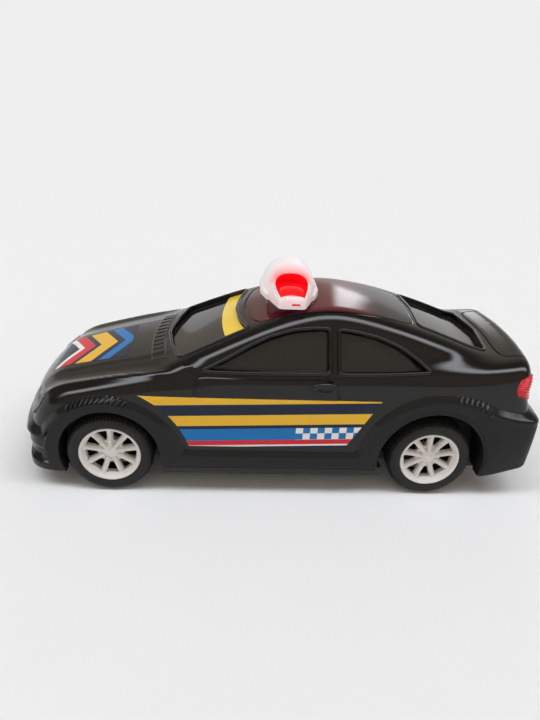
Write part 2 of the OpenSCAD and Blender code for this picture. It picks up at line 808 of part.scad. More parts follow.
// Pan-head screw pointing up from its head's underside, with a cross recess
recess_share = 0.35;
module screw(r, len, head_d, head_t) {
  cylinder(r = r, h = len);
  difference() {
    translate([0, 0, -head_t]) cylinder(d = head_d, h = head_t);
    for (turn = [0, right_angle]) rotate(turn)
      translate([-head_d * recess_share, -r / 4, -head_t - overrun])
        cube([2 * head_d * recess_share, r / 2, overrun + head_t / 2]);
  }
}
module chassis_screws() {
  color("#a8aaad") for (p = boss_places) translate([p.x, p.y, tray_z + screw_seat()])
    screw(screw_r, pilot_depth, screw_head_d, screw_head_t);
}
module keeper_screws() {
  color("#a8aaad") for (side = [1, -1])
    translate([front_x, side * saddle_y, axle_z + saddle_over + keeper_gap + keeper_t])
      keeper_screw_spots() rotate([whole_turn / 2, 0, 0])
        screw(keeper_screw_r, keeper_screw_len, 4 * keeper_screw_r, keeper_screw_r);
}

// Friction drive: axle gear, idler and flywheel in a two-part case over the rear axle
pressure = 20;
gear_play = 0.12;
wheel_add_share = 0.68;
pinion_add_share = 1;
ded_share = 1.25;
flank_steps = 4;
stage1_turn = 30;
stage2_turn = 10;
function pitch_r(n) = gear_m * n / 2;
idler_x = rear_x + (pitch_r(axle_gear_n) + pitch_r(pinion_n)) * cos(stage1_turn);
idler_z = axle_z + (pitch_r(axle_gear_n) + pitch_r(pinion_n)) * sin(stage1_turn);
fly_x = idler_x + (pitch_r(idler_gear_n) + pitch_r(pinion_n)) * cos(stage2_turn);
fly_z = idler_z + (pitch_r(idler_gear_n) + pitch_r(pinion_n)) * sin(stage2_turn);
function tip_r(n, share) = pitch_r(n) + share * gear_m;

// Involute tooth outline: half the tooth's angle falls off from root to tip
function roll(base, r) = sqrt(max(pow(r / base, 2) - 1, 0));
function involute(base, r) = roll(base, r) * whole_turn / 2 / PI - atan(roll(base, r));
function tooth_half(n, r) =
  let (base = pitch_r(n) * cos(pressure))
  whole_turn / 4 / n - gear_play / pitch_r(n) * whole_turn / 4 / PI
  + involute(base, pitch_r(n)) - involute(base, max(r, base));
function gear_outline(n, add) =
  let (root = pitch_r(n) - ded_share * gear_m, tip = tip_r(n, add))
  let (radii = [for (k = [0:flank_steps]) root + (tip - root) * k / flank_steps])
  [
    for (i = [0:n - 1], half = [-1, 1], k = [0:flank_steps])
      let (r = radii[half < 0 ? k : flank_steps - k])
      let (turn = whole_turn * i / n + half * tooth_half(n, r))
      r * [cos(turn), sin(turn)]
  ];
module gear(n, add, turn, from_y, to_y) {
  translate([0, to_y, 0]) rotate([right_angle, 0, 0])
    linear_extrude(to_y - from_y) rotate(turn) polygon(gear_outline(n, add));
}
module along_y(r, from_y, to_y) {
  translate([0, to_y, 0]) rotate([right_angle, 0, 0]) cylinder(r = r, h = to_y - from_y);
}

stage1_from = 2.4;
stage1_to = 7.4;
stage2_from = -2.4;
stage2_to = 1.6;
fly_to = -3.4;
fly_from = fly_to - flywheel_t;
case_wall = 1.2;
case_room = 0.8;
case_left_y = stage1_to + case_room + case_wall;
case_right_y = fly_from - case_room - case_wall;
case_split_y = 2;
case_seam = 0.1;
idler_shaft_r = 1;
fly_shaft_r = 1;
gear_hub_r = 3;
bearing_r = 3;
bearing_out = 1;

module axle_gear() {
  color("#e9e6dc") translate([rear_x, 0, axle_z]) difference() {
    union() {
      gear(axle_gear_n, wheel_add_share, stage1_turn, stage1_from, stage1_to);
      along_y(gear_hub_r, stage1_from - case_room / 2, stage1_to + case_room / 2);
    }
    along_y(axle_d / 2 + push_gap, stage1_from - overrun, stage1_to + overrun);
  }
}
module idler_gear() {
  color("#d9b23a") translate([idler_x, 0, idler_z]) difference() {
    union() {
      gear(pinion_n, pinion_add_share, stage1_turn + whole_turn / 2 + whole_turn / 2 / pinion_n,
           stage2_to, stage1_to);
      gear(idler_gear_n, wheel_add_share, stage2_turn, stage2_from, stage2_to);
    }
    along_y(idler_shaft_r + run_gap, stage2_from - overrun, stage1_to + overrun);
  }
}
module idler_shaft() {
  color("#c7c9cc") translate([idler_x, 0, idler_z])
    along_y(idler_shaft_r, case_right_y, case_left_y);
}
module flywheel_shaft() {
  color("#c7c9cc") translate([fly_x, 0, fly_z]) {
    along_y(fly_shaft_r, case_right_y, case_left_y);
    gear(pinion_n, pinion_add_share, stage2_turn + whole_turn / 2 + whole_turn / 2 / pinion_n,
         stage2_from - case_room / 2, stage2_to);
  }
}
fly_web_share = 0.5;
fly_groove_in = 2;
module flywheel() {
  color("#8d9094") translate([fly_x, 0, fly_z]) difference() {
    along_y(flywheel_d / 2, fly_from, fly_to);
    along_y(fly_shaft_r + push_gap, fly_from - overrun, fly_to + overrun);
    difference() {
      along_y(flywheel_d / 2 - fly_groove_in, fly_from - overrun,
              fly_from + flywheel_t * (1 - fly_web_share));
      along_y(gear_hub_r, fly_from - 2 * overrun, fly_to + overrun);
    }
  }
}

module case_outline(extra) {
  hull() {
    translate([rear_x, axle_z]) circle(r = tip_r(axle_gear_n, wheel_add_share) + extra);
    translate([idler_x, idler_z]) circle(r = tip_r(idler_gear_n, wheel_add_share) + extra);
    translate([fly_x, fly_z]) circle(r = flywheel_d / 2 + extra);
  }
}
module case_slice(extra, from_y, to_y) {
  translate([0, to_y, 0]) rotate([right_angle, 0, 0])
    linear_extrude(to_y - from_y) case_outline(extra);
}
// Bearing bosses stand out of the end wall of each half
module case_half(end_y, seam_y) {
  low = min(end_y, seam_y);
  high = max(end_y, seam_y);
  out = end_y > seam_y ? bearing_out : -bearing_out;
  cut = end_y > seam_y ? [low - overrun, high - case_wall] : [low + case_wall, high + overrun];
  difference() {
    union() {
      case_slice(case_room + case_wall, low, high);
      for (p = [[rear_x, axle_z], [fly_x, fly_z]]) translate([p.x, 0, p.y])
        along_y(bearing_r, min(end_y, end_y + out), max(end_y, end_y + out));
    }
    case_slice(case_room, cut[0], cut[1]);
    translate([rear_x, 0, axle_z])
      along_y(axle_d / 2 + run_gap, low - 2 * bearing_out, high + 2 * bearing_out);
    translate([fly_x, 0, fly_z])
      along_y(fly_shaft_r + run_gap, low - 2 * bearing_out, high + 2 * bearing_out);
    translate([idler_x, 0, idler_z])
      along_y(idler_shaft_r + push_gap, low - 2 * bearing_out, high + 2 * bearing_out);
  }
}
module motor_case_left() {
  color("#2f5fa8") case_half(case_left_y, case_split_y + case_seam / 2);
}

// Two lugs on the right half sit on posts of the tray
lug_z = 15;
lug_t = 1.6;
lug_d = 7;
lug_reach = 4.5;
motor_screw_len = 4;
motor_post_d = 5.5;
lug_y = -5;
function case_low_x() = rear_x - tip_r(axle_gear_n, wheel_add_share) - case_room - case_wall;
function case_high_x() = fly_x + flywheel_d / 2 + case_room + case_wall;
function motor_post_xs() = [case_low_x() - lug_reach, case_high_x() + lug_reach];
module motor_case_right() {
  color("#2f5fa8") {
    case_half(case_right_y, case_split_y - case_seam / 2);
    for (x = motor_post_xs()) difference() {
      translate([x, lug_y, lug_z]) {
        cylinder(d = lug_d, h = lug_t);
        inward = x < fly_x && x < rear_x ? 1 : -1;
        translate([inward > 0 ? 0 : -lug_d - lug_reach, -lug_d / 2, 0])
          cube([lug_d + lug_reach, lug_d, lug_t]);
      }
      translate([x, lug_y, lug_z - overrun])
        cylinder(r = keeper_screw_r + pilot_gap, h = lug_t + 2 * overrun);
      case_slice(case_room + case_wall / 2, case_right_y, case_split_y);
    }
  }
}
module motor_post(x) {
  translate([x, lug_y, tray_z]) difference() {
    cylinder(d = motor_post_d, h = lug_z - seat_gap - tray_z);
    translate([0, 0, lug_z - seat_gap - tray_z - motor_screw_len])
      cylinder(r = keeper_screw_r + pilot_gap, h = motor_screw_len + overrun);
  }
}
module motor_screws() {
  color("#a8aaad") for (x = motor_post_xs()) translate([x, lug_y, lug_z + lug_t])
    rotate([whole_turn / 2, 0, 0])
      screw(keeper_screw_r, motor_screw_len, 4 * keeper_screw_r, keeper_screw_r);
}
window_room = 1.2;
module motor_window() {
  translate([0, 0, tray_z - overrun]) linear_extrude(tray_t + 2 * overrun)
    translate([case_low_x() - window_room / 2, case_right_y - bearing_out - window_room])
      square([fly_x - flywheel_d / 4 - case_low_x(),
              case_left_y - case_right_y + 2 * (bearing_out + window_room)]);
}

// Wheels: spoked rims pushed on the axle ends, soft tyres stretched over them
rim_lip_t = 1.1;
rim_seat_in = 0.9;
rim_wall = 1;
spoke_in = 1.4;
spoke_t = 2.6;
spoke_w = 2.5;
spoke_foot_w = 3.3;
hub_r = 3.7;
hub_cap_r = 2.5;
hub_cap_in = 0.5;
hub_depth_share = 0.95;
axle_end_in = 4;
tyre_shoulder = 2.2;
tyre_groove_w = 1;
tyre_groove_d = 0.7;
tyre_bead = 0.5;
notch_n = 40;
notch_w = 1;
notch_d = 0.6;
notch_len = 2.4;
module spoke() {
  rim_in = rim_d / 2 - rim_seat_in - rim_wall;
  translate([0, 0, -spoke_in - spoke_t]) linear_extrude(spoke_t)
    polygon([
      [hub_r * hub_depth_share, -spoke_w / 2], [rim_in + rim_wall / 2, -spoke_foot_w / 2],
      [rim_in + rim_wall / 2, spoke_foot_w / 2], [hub_r * hub_depth_share, spoke_w / 2]
    ]);
}
// A rim lies with its outer face on z = 0 and its back below
module rim() {
  seat_r = rim_d / 2 - rim_seat_in;
  color("#dcd7cf") difference() {
    union() {
      rotate_extrude() polygon([
        [seat_r - rim_wall, -tyre_w], [seat_r, -tyre_w], [seat_r, -rim_lip_t],
        [rim_d / 2, -rim_lip_t], [rim_d / 2, -rim_lip_t / 3], [rim_d / 2 - rim_lip_t / 3, 0],
        [seat_r, 0], [seat_r - rim_wall, -rim_lip_t]
      ]);
      translate([0, 0, -tyre_w]) cylinder(r = hub_r, h = tyre_w - spoke_in);
      translate([0, 0, -spoke_in - hub_cap_in]) cylinder(r = hub_cap_r, h = 2 * hub_cap_in);
      for (i = [0:spoke_n - 1]) rotate(whole_turn * i / spoke_n) spoke();
    }
    translate([0, 0, -tyre_w - overrun])
      cylinder(r = axle_d / 2 + push_gap, h = tyre_w - axle_end_in + overrun);
  }
}
module tyre() {
  seat_r = rim_d / 2 - rim_seat_in + push_gap;
  lip_r = rim_d / 2 + push_gap;
  out = tyre_d / 2;
  edge = tyre_shoulder / 3;
  color("#1d1d1e") difference() {
    rotate_extrude($fn = 96) difference() {
      polygon([
        [seat_r, -tyre_w], [out - tyre_shoulder, -tyre_w], [out - edge, edge - tyre_w],
        [out, tyre_shoulder - tyre_w], [out, -tyre_shoulder], [out - edge, -edge],
        [out - tyre_shoulder, 0], [lip_r + tyre_bead, 0], [lip_r + tyre_bead, -tyre_bead],
        [lip_r, -tyre_bead], [lip_r, -rim_lip_t - push_gap], [seat_r, -rim_lip_t - push_gap]
      ]);
      for (share = [-1, 0, 1])
        translate([out - tyre_groove_d, -tyre_w / 2 + share * tyre_w / 5 - tyre_groove_w / 2])
          square([tyre_groove_d + overrun, tyre_groove_w]);
    }
    for (i = [0:notch_n - 1]) rotate(whole_turn * i / notch_n)
      translate([out - notch_d, -notch_w / 2, -notch_len])
        cube([notch_d + overrun, notch_w, notch_len + overrun]);
  }
}
module on_wheel(x, side) {
  translate([x, side * wheel_y, axle_z]) rotate([-side * right_angle, 0, 0]) children();
}
module axle(x) {
  end = wheel_y - axle_end_in - push_gap;
  color("#c3c6ca") translate([x, 0, axle_z]) along_y(axle_d / 2, -end, end);
}
module front_axle() { axle(front_x); }
module rear_axle() { axle(rear_x); }
module front_rim_left() { on_wheel(front_x, 1) rim(); }
module front_rim_right() { on_wheel(front_x, -1) rim(); }
module rear_rim_left() { on_wheel(rear_x, 1) rim(); }
module rear_rim_right() { on_wheel(rear_x, -1) rim(); }
module front_tyre_left() { on_wheel(front_x, 1) tyre(); }
module front_tyre_right() { on_wheel(front_x, -1) tyre(); }
module rear_tyre_left() { on_wheel(rear_x, 1) tyre(); }
module rear_tyre_right() { on_wheel(rear_x, -1) tyre(); }

body_shell();
chassis_base();
window_insert();
rear_view_mirror();
headlight_left();
headlight_right();
tail_light_left();
tail_light_right();
light_bar_housing();
light_bar_lens_left();
light_bar_lens_right();
chassis_screws();
front_axle_keeper();
keeper_screws();
motor_case_left();
motor_case_right();
motor_screws();
idler_shaft();
front_axle();
front_rim_left();
front_rim_right();
front_tyre_left();
front_tyre_right();
rear_axle();
rear_rim_left();
rear_rim_right();
rear_tyre_left();
rear_tyre_right();
axle_gear();
idler_gear();
flywheel();
flywheel_shaft();
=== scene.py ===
"""Looks of a push-along toy police coupe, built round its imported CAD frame. All sizes are in mm."""

import bmesh
import bpy
import numpy as np
from mathutils import Matrix


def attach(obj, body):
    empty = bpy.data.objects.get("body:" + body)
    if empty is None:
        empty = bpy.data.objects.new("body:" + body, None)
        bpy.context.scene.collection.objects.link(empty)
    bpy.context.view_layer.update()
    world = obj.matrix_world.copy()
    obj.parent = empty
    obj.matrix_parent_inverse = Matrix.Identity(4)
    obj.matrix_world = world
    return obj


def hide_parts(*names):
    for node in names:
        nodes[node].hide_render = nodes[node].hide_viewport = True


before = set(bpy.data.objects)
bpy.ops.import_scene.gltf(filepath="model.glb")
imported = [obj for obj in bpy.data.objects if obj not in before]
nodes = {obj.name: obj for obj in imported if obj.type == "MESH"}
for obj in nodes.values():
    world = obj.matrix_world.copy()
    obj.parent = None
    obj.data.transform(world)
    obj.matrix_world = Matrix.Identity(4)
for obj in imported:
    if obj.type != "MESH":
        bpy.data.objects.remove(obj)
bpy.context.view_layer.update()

# Body moulding
# The upper shell of the coupe, one thin ABS moulding from a polished tool, black right through.
# It drops over the chassis tray and takes four screws from below into its bosses.
MM = 0.001
NOSE_X = 108.556
TAIL_X = 108.8
HALF_W = 41.3
BELT_Z = 56.5
WALL = 1.6

# Places along the car, heights and slopes that give the form its lines
COWL_X = 46.5
DOOR_X = 38.5
BOOT_LIP_X = -91.5
SCREEN_FOOT_X = 43.5
REAR_FOOT_X = -89.5
ROOF_X = -19.5
ROOF_Z = 79.3
FLANK_Z = 30
BONNET_SLOPE = 0.19
SCREEN_SLOPE = 0.467
REAR_SLOPE = 0.35
CABIN_LEAN = 0.645

# Bows of nose, tail and top across the car, and the widths over which faces melt together
NOSE_BOW = 8
TAIL_BOW = 4
TOP_BOW = 2.1
SHOULDER_ROUND = 9.0
NOSE_ROUND = 8.0
TAIL_ROUND = 5.0
ROOF_ROUND = 12.0
PILLAR_ROUND = 5.0
BELT_ROUND = 4.0

# Rays that find the skin start at this height on the middle plane, and fan out round each end from this place
RAY_Z = 30.0
RAY_LENGTH = 130.0
HALVINGS = 26
FAN_X = 66.0
FAN_COLUMNS = 66


def soft_min(a, b, k):
    """The smaller of two distances, with the corner between them rounded over the width k."""
    return np.minimum(a, b) - np.maximum(k - np.abs(a - b), 0) ** 2 / (4 * k)


def soft_max(a, b, k):
    """The larger of two distances, with the corner between them rounded over the width k."""
    return -soft_min(-a, -b, k)


def fall(v, start, length):
    """A square-law fall-away that starts at a place and reaches 1 a length further on."""
    return (np.maximum(v - start, 0) / length) ** 2


def ease(v):
    """A smooth step from 0 to 1 while v runs from 0 to 1."""
    v = np.clip(v, 0, 1)
    return v * v * (3 - 2 * v)


def bump(v, width):
    """A bell of height 1 that fades out about a width away from 0."""
    return np.exp(-((v / width) ** 2))


def pressed(x, y, z):
    """Soft forms pressed into the skin: a crease along each wing from lamp to windscreen with a hollow
    on its inner side, the bonnet's raised middle, and the door's waist line."""
    crease = y - (30.2 + 5.2 * (97 - x) / 53)
    on_bonnet = ease((x - 43) / 8) * ease((103 - x) / 9) * ease((z - 36) / 4)
    wing = 0.42 * bump(crease, 1.5) - 0.5 * bump(crease + 5.5, 4.0)
    middle = 0.35 * ease((21 + 0.05 * (97 - x) - y) / 4)
    waist = 0.3 * bump(z - 51.2 - 0.01 * (30 - x), 2.2) * ease((34 - x) / 10) * ease((x + 96) / 20)
    return on_bonnet * (wing + middle) + waist * ease((y - 36) / 3)


def outside(x, y, z):
    """Distance outside the body: bonnet, boot, flanks, nose and tail are planes and gentle parabolas that
    melt together, with the tail drawn in at its lamps; the cabin's windscreen, roof, rear window and leaning
    sides melt together too, and the cabin melts into the lower body over 4 mm."""
    y = np.abs(y)
    share = (y / HALF_W) ** 2
    bonnet = BELT_Z - 0.5 - BONNET_SLOPE * (x - COWL_X) - 3.6 * fall(x, COWL_X, NOSE_X - COWL_X)
    shoulder = BELT_Z + 0.035 * (DOOR_X - x)
    lip = 1.1 * soft_max((-x + BOOT_LIP_X) / 14, 0 * x, 0.5)
    top = soft_min(bonnet, shoulder, 3.0) - TOP_BOW * share + lip
    flank = HALF_W - 1.6 * ((z - FLANK_Z) / 25) ** 2 - 3.5 * fall(x, DOOR_X, 65) - 3 * fall(-x, 46.5, 60)
    nose = NOSE_X - NOSE_BOW * share - 0.55 * soft_max(z - 31, 0 * z, 8.0)
    tail = TAIL_X - TAIL_BOW * share - 0.13 * soft_max(z - 40, 0 * z, 6.0) - 2.2 * share * bump(z - 48, 6)
    lower = soft_max(z - top, y - flank, SHOULDER_ROUND)
    lower = soft_max(lower, 0.9 * (x - nose), NOSE_ROUND)
    lower = soft_max(lower, -x - tail, TAIL_ROUND)
    screen = BELT_Z + 0.9 + SCREEN_SLOPE * (SCREEN_FOOT_X - x) + 1.2 * (1 - (y / 30) ** 2)
    roof = ROOF_Z - 7 * ((x - ROOF_X) / 45) ** 2 - 1.5 * (y / 25) ** 2
    rear = BELT_Z + 5.9 + REAR_SLOPE * (x - REAR_FOOT_X) + 1 - (y / 26) ** 2
    side = HALF_W - 3.7 - CABIN_LEAN * np.maximum(z - BELT_Z, 0)
    side = side - 7.5 * fall(-x, 31.5, 55) - 3.5 * fall(x, 8.5, 35)
    cabin = soft_max(0.906 * (z - screen), z - roof, ROOF_ROUND)
    cabin = soft_max(cabin, 0.945 * (z - rear), ROOF_ROUND)
    cabin = soft_max(cabin, 0.84 * (y - side), PILLAR_ROUND)
    cabin = np.maximum(cabin, np.maximum(6 - x - tail, shoulder - 12 - z))
    return soft_min(lower, cabin, BELT_ROUND) - pressed(x, y, z)


def leave_skin(start, way, level):
    """Where rays from inside the car leave the skin at a distance outside it, by halving their length."""
    near = np.zeros(np.broadcast_shapes(way.shape[:-1], start.shape[:-1]))
    far = near + RAY_LENGTH
    for _ in range(HALVINGS):
        mid = (near + far) / 2
        p = start + mid[..., None] * way
        inner = outside(p[..., 0], p[..., 1], p[..., 2]) < level
        near = np.where(inner, mid, near)
        far = np.where(inner, far, mid)
    return start + far[..., None] * way


def stacked(x, y, z):
    """Three arrays of coordinates, spread to one shape, as an array of points."""
    return np.stack(np.broadcast_arrays(x, y, z), -1).astype(float)


def quads(rows, cols, join_rows=False, join_cols=False):
    """Corner numbers of a grid's faces, with its last row or column joined to the first if asked."""
    i, j = np.meshgrid(
        np.arange(rows if join_rows else rows - 1),
        np.arange(cols if join_cols else cols - 1),
        indexing="ij",
    )
    down, on = (i + 1) % rows, (j + 1) % cols
    corners = [i * cols + j, i * cols + on, down * cols + on, down * cols + j]
    return np.stack(corners, -1).reshape(-1, 4)


def shade(mesh, angle):
    """Smooth shading, with edges over an angle in degrees kept sharp."""
    mesh.shade_smooth()
    mesh.set_sharp_from_angle(angle=np.radians(angle))


def piece(name, points, faces, smooth=30, mark=None):
    """A mesh object from points in mm, with doubles merged, faces outward and edges over an angle sharp;
    mark gives each point one number that a material can read."""
    mesh = bpy.data.meshes.new(name)
    mesh.from_pydata((points.reshape(-1, 3) * MM).tolist(), [], [list(f) for f in faces])
    if mark is not None:
        mesh.attributes.new("mark", "FLOAT", "POINT").data.foreach_set("value", np.ravel(mark).astype(float))
    work = bmesh.new()
    work.from_mesh(mesh)
    bmesh.ops.remove_doubles(work, verts=work.verts, dist=0.002 * MM)
    bmesh.ops.recalc_face_normals(work, faces=work.faces)
    work.to_mesh(mesh)
    work.free()
    shade(mesh, smooth)
    made = bpy.data.objects.new(name, mesh)
    bpy.context.scene.collection.objects.link(made)
    return made


def combine(body, tool, operation):
    """Cuts a closed tool out of a closed piece, or joins it on, and removes the tool."""
    modifier = body.modifiers.new(operation, "BOOLEAN")
    modifier.operation = operation
    modifier.object = tool
    modifier.solver = "MANIFOLD"
    with bpy.context.temp_override(object=body):
        bpy.ops.object.modifier_apply(modifier=modifier.name)
    bpy.data.objects.remove(tool)


def curve(corners, count, closed=False):
    """A smooth curve through its corners, closed or with both ends kept: the Catmull-Rom cubic, sampled
    evenly in each span."""
    c = np.asarray(corners, float)
    before, after = (c[-1:], c[:2]) if closed else (2 * c[:1] - c[1:2], 2 * c[-1:] - c[-2:-1])
    c = np.vstack([before, c, after])
    spans = len(c) - 3
    t = np.linspace(0, spans, count, endpoint=not closed)
    k = np.minimum(t.astype(int), spans - 1)
    t = (t - k)[:, None]
    p = [c[k + step] for step in range(4)]
    return 0.5 * (2 * p[1] + (p[2] - p[0]) * t + (2 * p[0] - 5 * p[1] + 4 * p[2] - p[3]) * t**2
                  + (3 * p[1] - p[0] - 3 * p[2] + p[3]) * t**3)


def prism(outline, axis, low, high):
    """A closed outline carried straight along X, Y or Z between two places, as points and faces."""
    n = len(outline)
    ends = np.repeat([low, high], n)
    points = np.insert(np.vstack([outline, outline]), axis, ends, axis=1)
    faces = [list(f) for f in quads(2, n, join_cols=True)]
    return points, faces + [list(range(n))[::-1], list(range(n, 2 * n))]


def on_top(x, y, level=0.0):
    """Points of the skin straight above places on the floor plan."""
    return leave_skin(stacked(x, y, RAY_Z), np.array([0.0, 0.0, 1.0]), level)


def on_side(x, z, level=0.0):
    """Points of the left flank straight out from places on the side view."""
    return leave_skin(stacked(x, 0.0, z), np.array([0.0, 1.0, 0.0]), level)


def skin_slope(points, step):
    """Unit vectors straight out of the skin at points near it, from differences over a step each way."""
    slope = np.stack([
        outside(*(points + d).T) - outside(*(points - d).T) for d in np.eye(3) * step
    ], -1)
    return slope / np.linalg.norm(slope, axis=1, keepdims=True)


def tube(path, radius, closed, sides=8, flat=1.0):
    """A round cord carried along a path that lies on the skin: each ring is a circle across the path, its
    height along the skin's slope scaled by flat, with points and faces returned."""
    ahead = np.roll(path, -1, 0) - np.roll(path, 1, 0) if closed else np.gradient(path, axis=0)
    up = skin_slope(path, 0.05)
    across = np.cross(ahead, up)
    across /= np.linalg.norm(across, axis=1, keepdims=True)
    turn = np.linspace(0, 2 * np.pi, sides, endpoint=False)
    rings = (path[:, None] + radius * np.cos(turn)[None, :, None] * across[:, None]
             + radius * flat * np.sin(turn)[None, :, None] * up[:, None])
    n = len(path)
    faces = [list(f) for f in quads(n, sides, join_rows=closed, join_cols=True)]
    if not closed:
        faces += [list(range(sides)), [n * sides - 1 - k for k in range(sides)]]
    return rings, faces


def mirrored(points):
    """The same points on the other side of the car."""
    return points * np.array([1.0, -1.0, 1.0])


# Columns run round the car on fanned rays; rows rise from the hidden lower edge to the middle of the roof.
fan = np.radians(np.linspace(90, 0, FAN_COLUMNS, endpoint=False))
middle_x = np.linspace(FAN_X, -FAN_X, 115)
column_x = np.concatenate([np.full(FAN_COLUMNS, FAN_X), middle_x, np.full(FAN_COLUMNS, -FAN_X)])
column_turn = np.concatenate([fan, 0 * middle_x, -fan[::-1]])
low_z = np.linspace(15, RAY_Z, 10, endpoint=False)
rise = np.radians(np.linspace(0, 90, 72))


def half_skin(level, step):
    """The left half of the skin: level rays at rising heights below, rays that tilt up to vertical above."""
    turn = column_turn[None]
    flat = leave_skin(
        stacked(column_x[None], 0.0, low_z[::step, None]),
        stacked(np.sin(turn), np.cos(turn), 0.0), level)
    tilt = rise[::-1][::step][::-1][:, None]
    steep = leave_skin(
        stacked(column_x[None], 0.0, RAY_Z + 0 * tilt),
        stacked(np.sin(turn) * np.cos(tilt), np.cos(turn) * np.cos(tilt), np.sin(tilt)), level)
    return np.concatenate([flat, steep])


def ring_round(half):
    """Both halves as one closed ring of columns, nose to tail on the left and back on the right."""
    return np.concatenate([half, mirrored(half[:, -2:0:-1])], axis=1)


outer = ring_round(half_skin(0.0, 1))
inner = ring_round(half_skin(-WALL, 2))
rows, cols = outer.shape[:2]
around = np.arange(cols)
rim = np.stack([around, (around + 1) % cols, rows * cols + (around + 1) % cols, rows * cols + around], -1)
shell = piece(
    "upper_body",
    np.concatenate([outer.reshape(-1, 3), inner.reshape(-1, 3)]),
    np.concatenate([
        quads(rows, cols, join_cols=True),
        rows * cols + quads(inner.shape[0], cols, join_cols=True),
        rim,
    ]).tolist(),
)

# Openings for the glass, cut straight through the wall
SIDE_CUTS = ((22, 60), (-60, -22))
DOOR_GLASS = [
    [-18.4, 56.4], [-18.4, 64], [-18.4, 71.9], [-12, 71.9], [-4, 71.2], [6, 68.6], [14, 65.2], [24, 60.0],
    [33.2, 55.7], [20, 55.9], [0, 56.2],
]
QUARTER_GLASS = [
    [-22.0, 56.5], [-22.0, 64], [-22.0, 71.7], [-29, 71.0], [-38, 69.3], [-47, 66.0], [-54, 61.8],
    [-59.8, 57.5], [-45, 57.0],
]
SCREEN = [
    [42.6, 28.4], [46.8, 15], [49.3, 0], [46.8, -15], [42.6, -28.4], [28, -26.4], [14.4, -24], [18.2, -12],
    [19.6, 0], [18.2, 12], [14.4, 24], [28, 26.4],
]
REAR_GLASS = [
    [-57.2, 19.4], [-58.4, 0], [-57.2, -19.4], [-72, -20.8], [-87.2, -21.6], [-90, 0], [-87.2, 21.6],
    [-72, 20.8],
]


def rounded_outline(corners, radius, count=160):
    """A polygon with its corners rounded: each point of the even walk along it is the mean of its
    neighbours within the radius."""
    c = np.asarray(corners, float)
    ends = np.roll(c, -1, 0)
    length = np.concatenate([[0], np.cumsum(np.linalg.norm(ends - c, axis=1))])
    walk = np.linspace(0, length[-1], count, endpoint=False)
    ring = np.vstack([c, c[:1]])
    even = np.stack([np.interp(walk, length, ring[:, k]) for k in range(2)], -1)
    reach = max(1, int(radius / (length[-1] / count)))
    return np.mean([np.roll(even, s, 0) for s in range(-reach, reach + 1)], axis=0)


side_outlines = [rounded_outline(glass, 1.6) for glass in (DOOR_GLASS, QUARTER_GLASS)]
top_outlines = [rounded_outline(glass, 2.2) for glass in (SCREEN, REAR_GLASS)]
for outline in side_outlines:
    for low, high in SIDE_CUTS:
        combine(shell, piece("glass_cut", *prism(outline, 1, low, high)), "DIFFERENCE")
for outline in top_outlines:
    combine(shell, piece("glass_cut", *prism(outline, 2, BELT_Z - 3, 95)), "DIFFERENCE")

# Wheel arches, a little wider than those of the skirt in front of them
WHEELS_X = {"front": 70.5, "rear": -64.5}
AXLE_Z = 18.0
ARCH_CUT_R = 23.4
turn = np.linspace(0, 2 * np.pi, 96, endpoint=False)
for x in WHEELS_X.values():
    circle = np.stack([x + ARCH_CUT_R * np.cos(turn), AXLE_Z + ARCH_CUT_R * np.sin(turn)], -1)
    for low, high in SIDE_CUTS:
        combine(shell, piece("arch_cut", *prism(circle, 1, low, high)), "DIFFERENCE")

# Shut lines: the doors, the roof panel and the boot lid
door_line = curve([
    [35.6, 24], [35.6, 36], [35.4, 47], [34.6, 52.4], [31.5, 53.6], [20, 53.9], [0, 54.3], [-14, 54.6],
    [-18.6, 53.6], [-21.6, 50.2], [-22.8, 44], [-23.2, 34], [-23.2, 24],
], 150)
door_path = on_side(door_line[:, 0], door_line[:, 1])
roof_line = curve([
    [16, 0], [14.2, 12], [10.4, 20.6], [0, 22.4], [-20, 22.6], [-40, 21.4], [-53.6, 19.4], [-55.6, 10],
    [-56, 0], [-55.6, -10], [-53.6, -19.4], [-40, -21.4], [-20, -22.6], [0, -22.4], [10.4, -20.6],
    [14.2, -12],
], 200, True)
roof_path = on_top(roof_line[:, 0], roof_line[:, 1])
boot_line = curve([
    [-103, 26], [-98.5, 25.8], [-94, 24.8], [-91.8, 19], [-92.6, 0], [-91.8, -19], [-94, -24.8],
    [-98.5, -25.8], [-103, -26],
], 140)
boot_path = on_top(boot_line[:, 0], boot_line[:, 1])
for path, radius, closed in (
    (door_path, 0.55, False), (mirrored(door_path), 0.55, False), (roof_path, 0.5, True),
    (boot_path, 0.5, False),
):
    combine(shell, piece("shut_line", *tube(path, radius, closed)), "DIFFERENCE")

# The raised pad that carries the light bar
BAR_X = -2.7
PAD_TOP = 78.2
SQUARE = np.array([[1, 1], [-1, 1], [-1, -1], [1, -1]])


def lofted(rings):
    """A closed solid carried through a row of outlines with equal counts, capped at both ends."""
    count, n = rings.shape[:2]
    faces = quads(count, n, join_cols=True).tolist()
    return rings, faces + [list(range(n))[::-1], list(range((count - 1) * n, count * n))]


pad_steps = np.array([[66, 0], [77.4, 0], [77.75, 0.1], [78.0, 0.35], [78.15, 0.75], [PAD_TOP, 1.3]])
pad_rings = [
    np.insert(rounded_outline(SQUARE * [10 - inset, 18 - inset], 4.0) + [BAR_X, 0], 2, z, axis=1)
    for z, inset in pad_steps
]
combine(shell, piece("bar_pad", *lofted(np.array(pad_rings))), "UNION")


def points_of(mesh):
    """The points of a mesh in mm."""
    co = np.zeros(len(mesh.vertices) * 3)
    mesh.vertices.foreach_get("co", co)
    return co.reshape(-1, 3) / MM


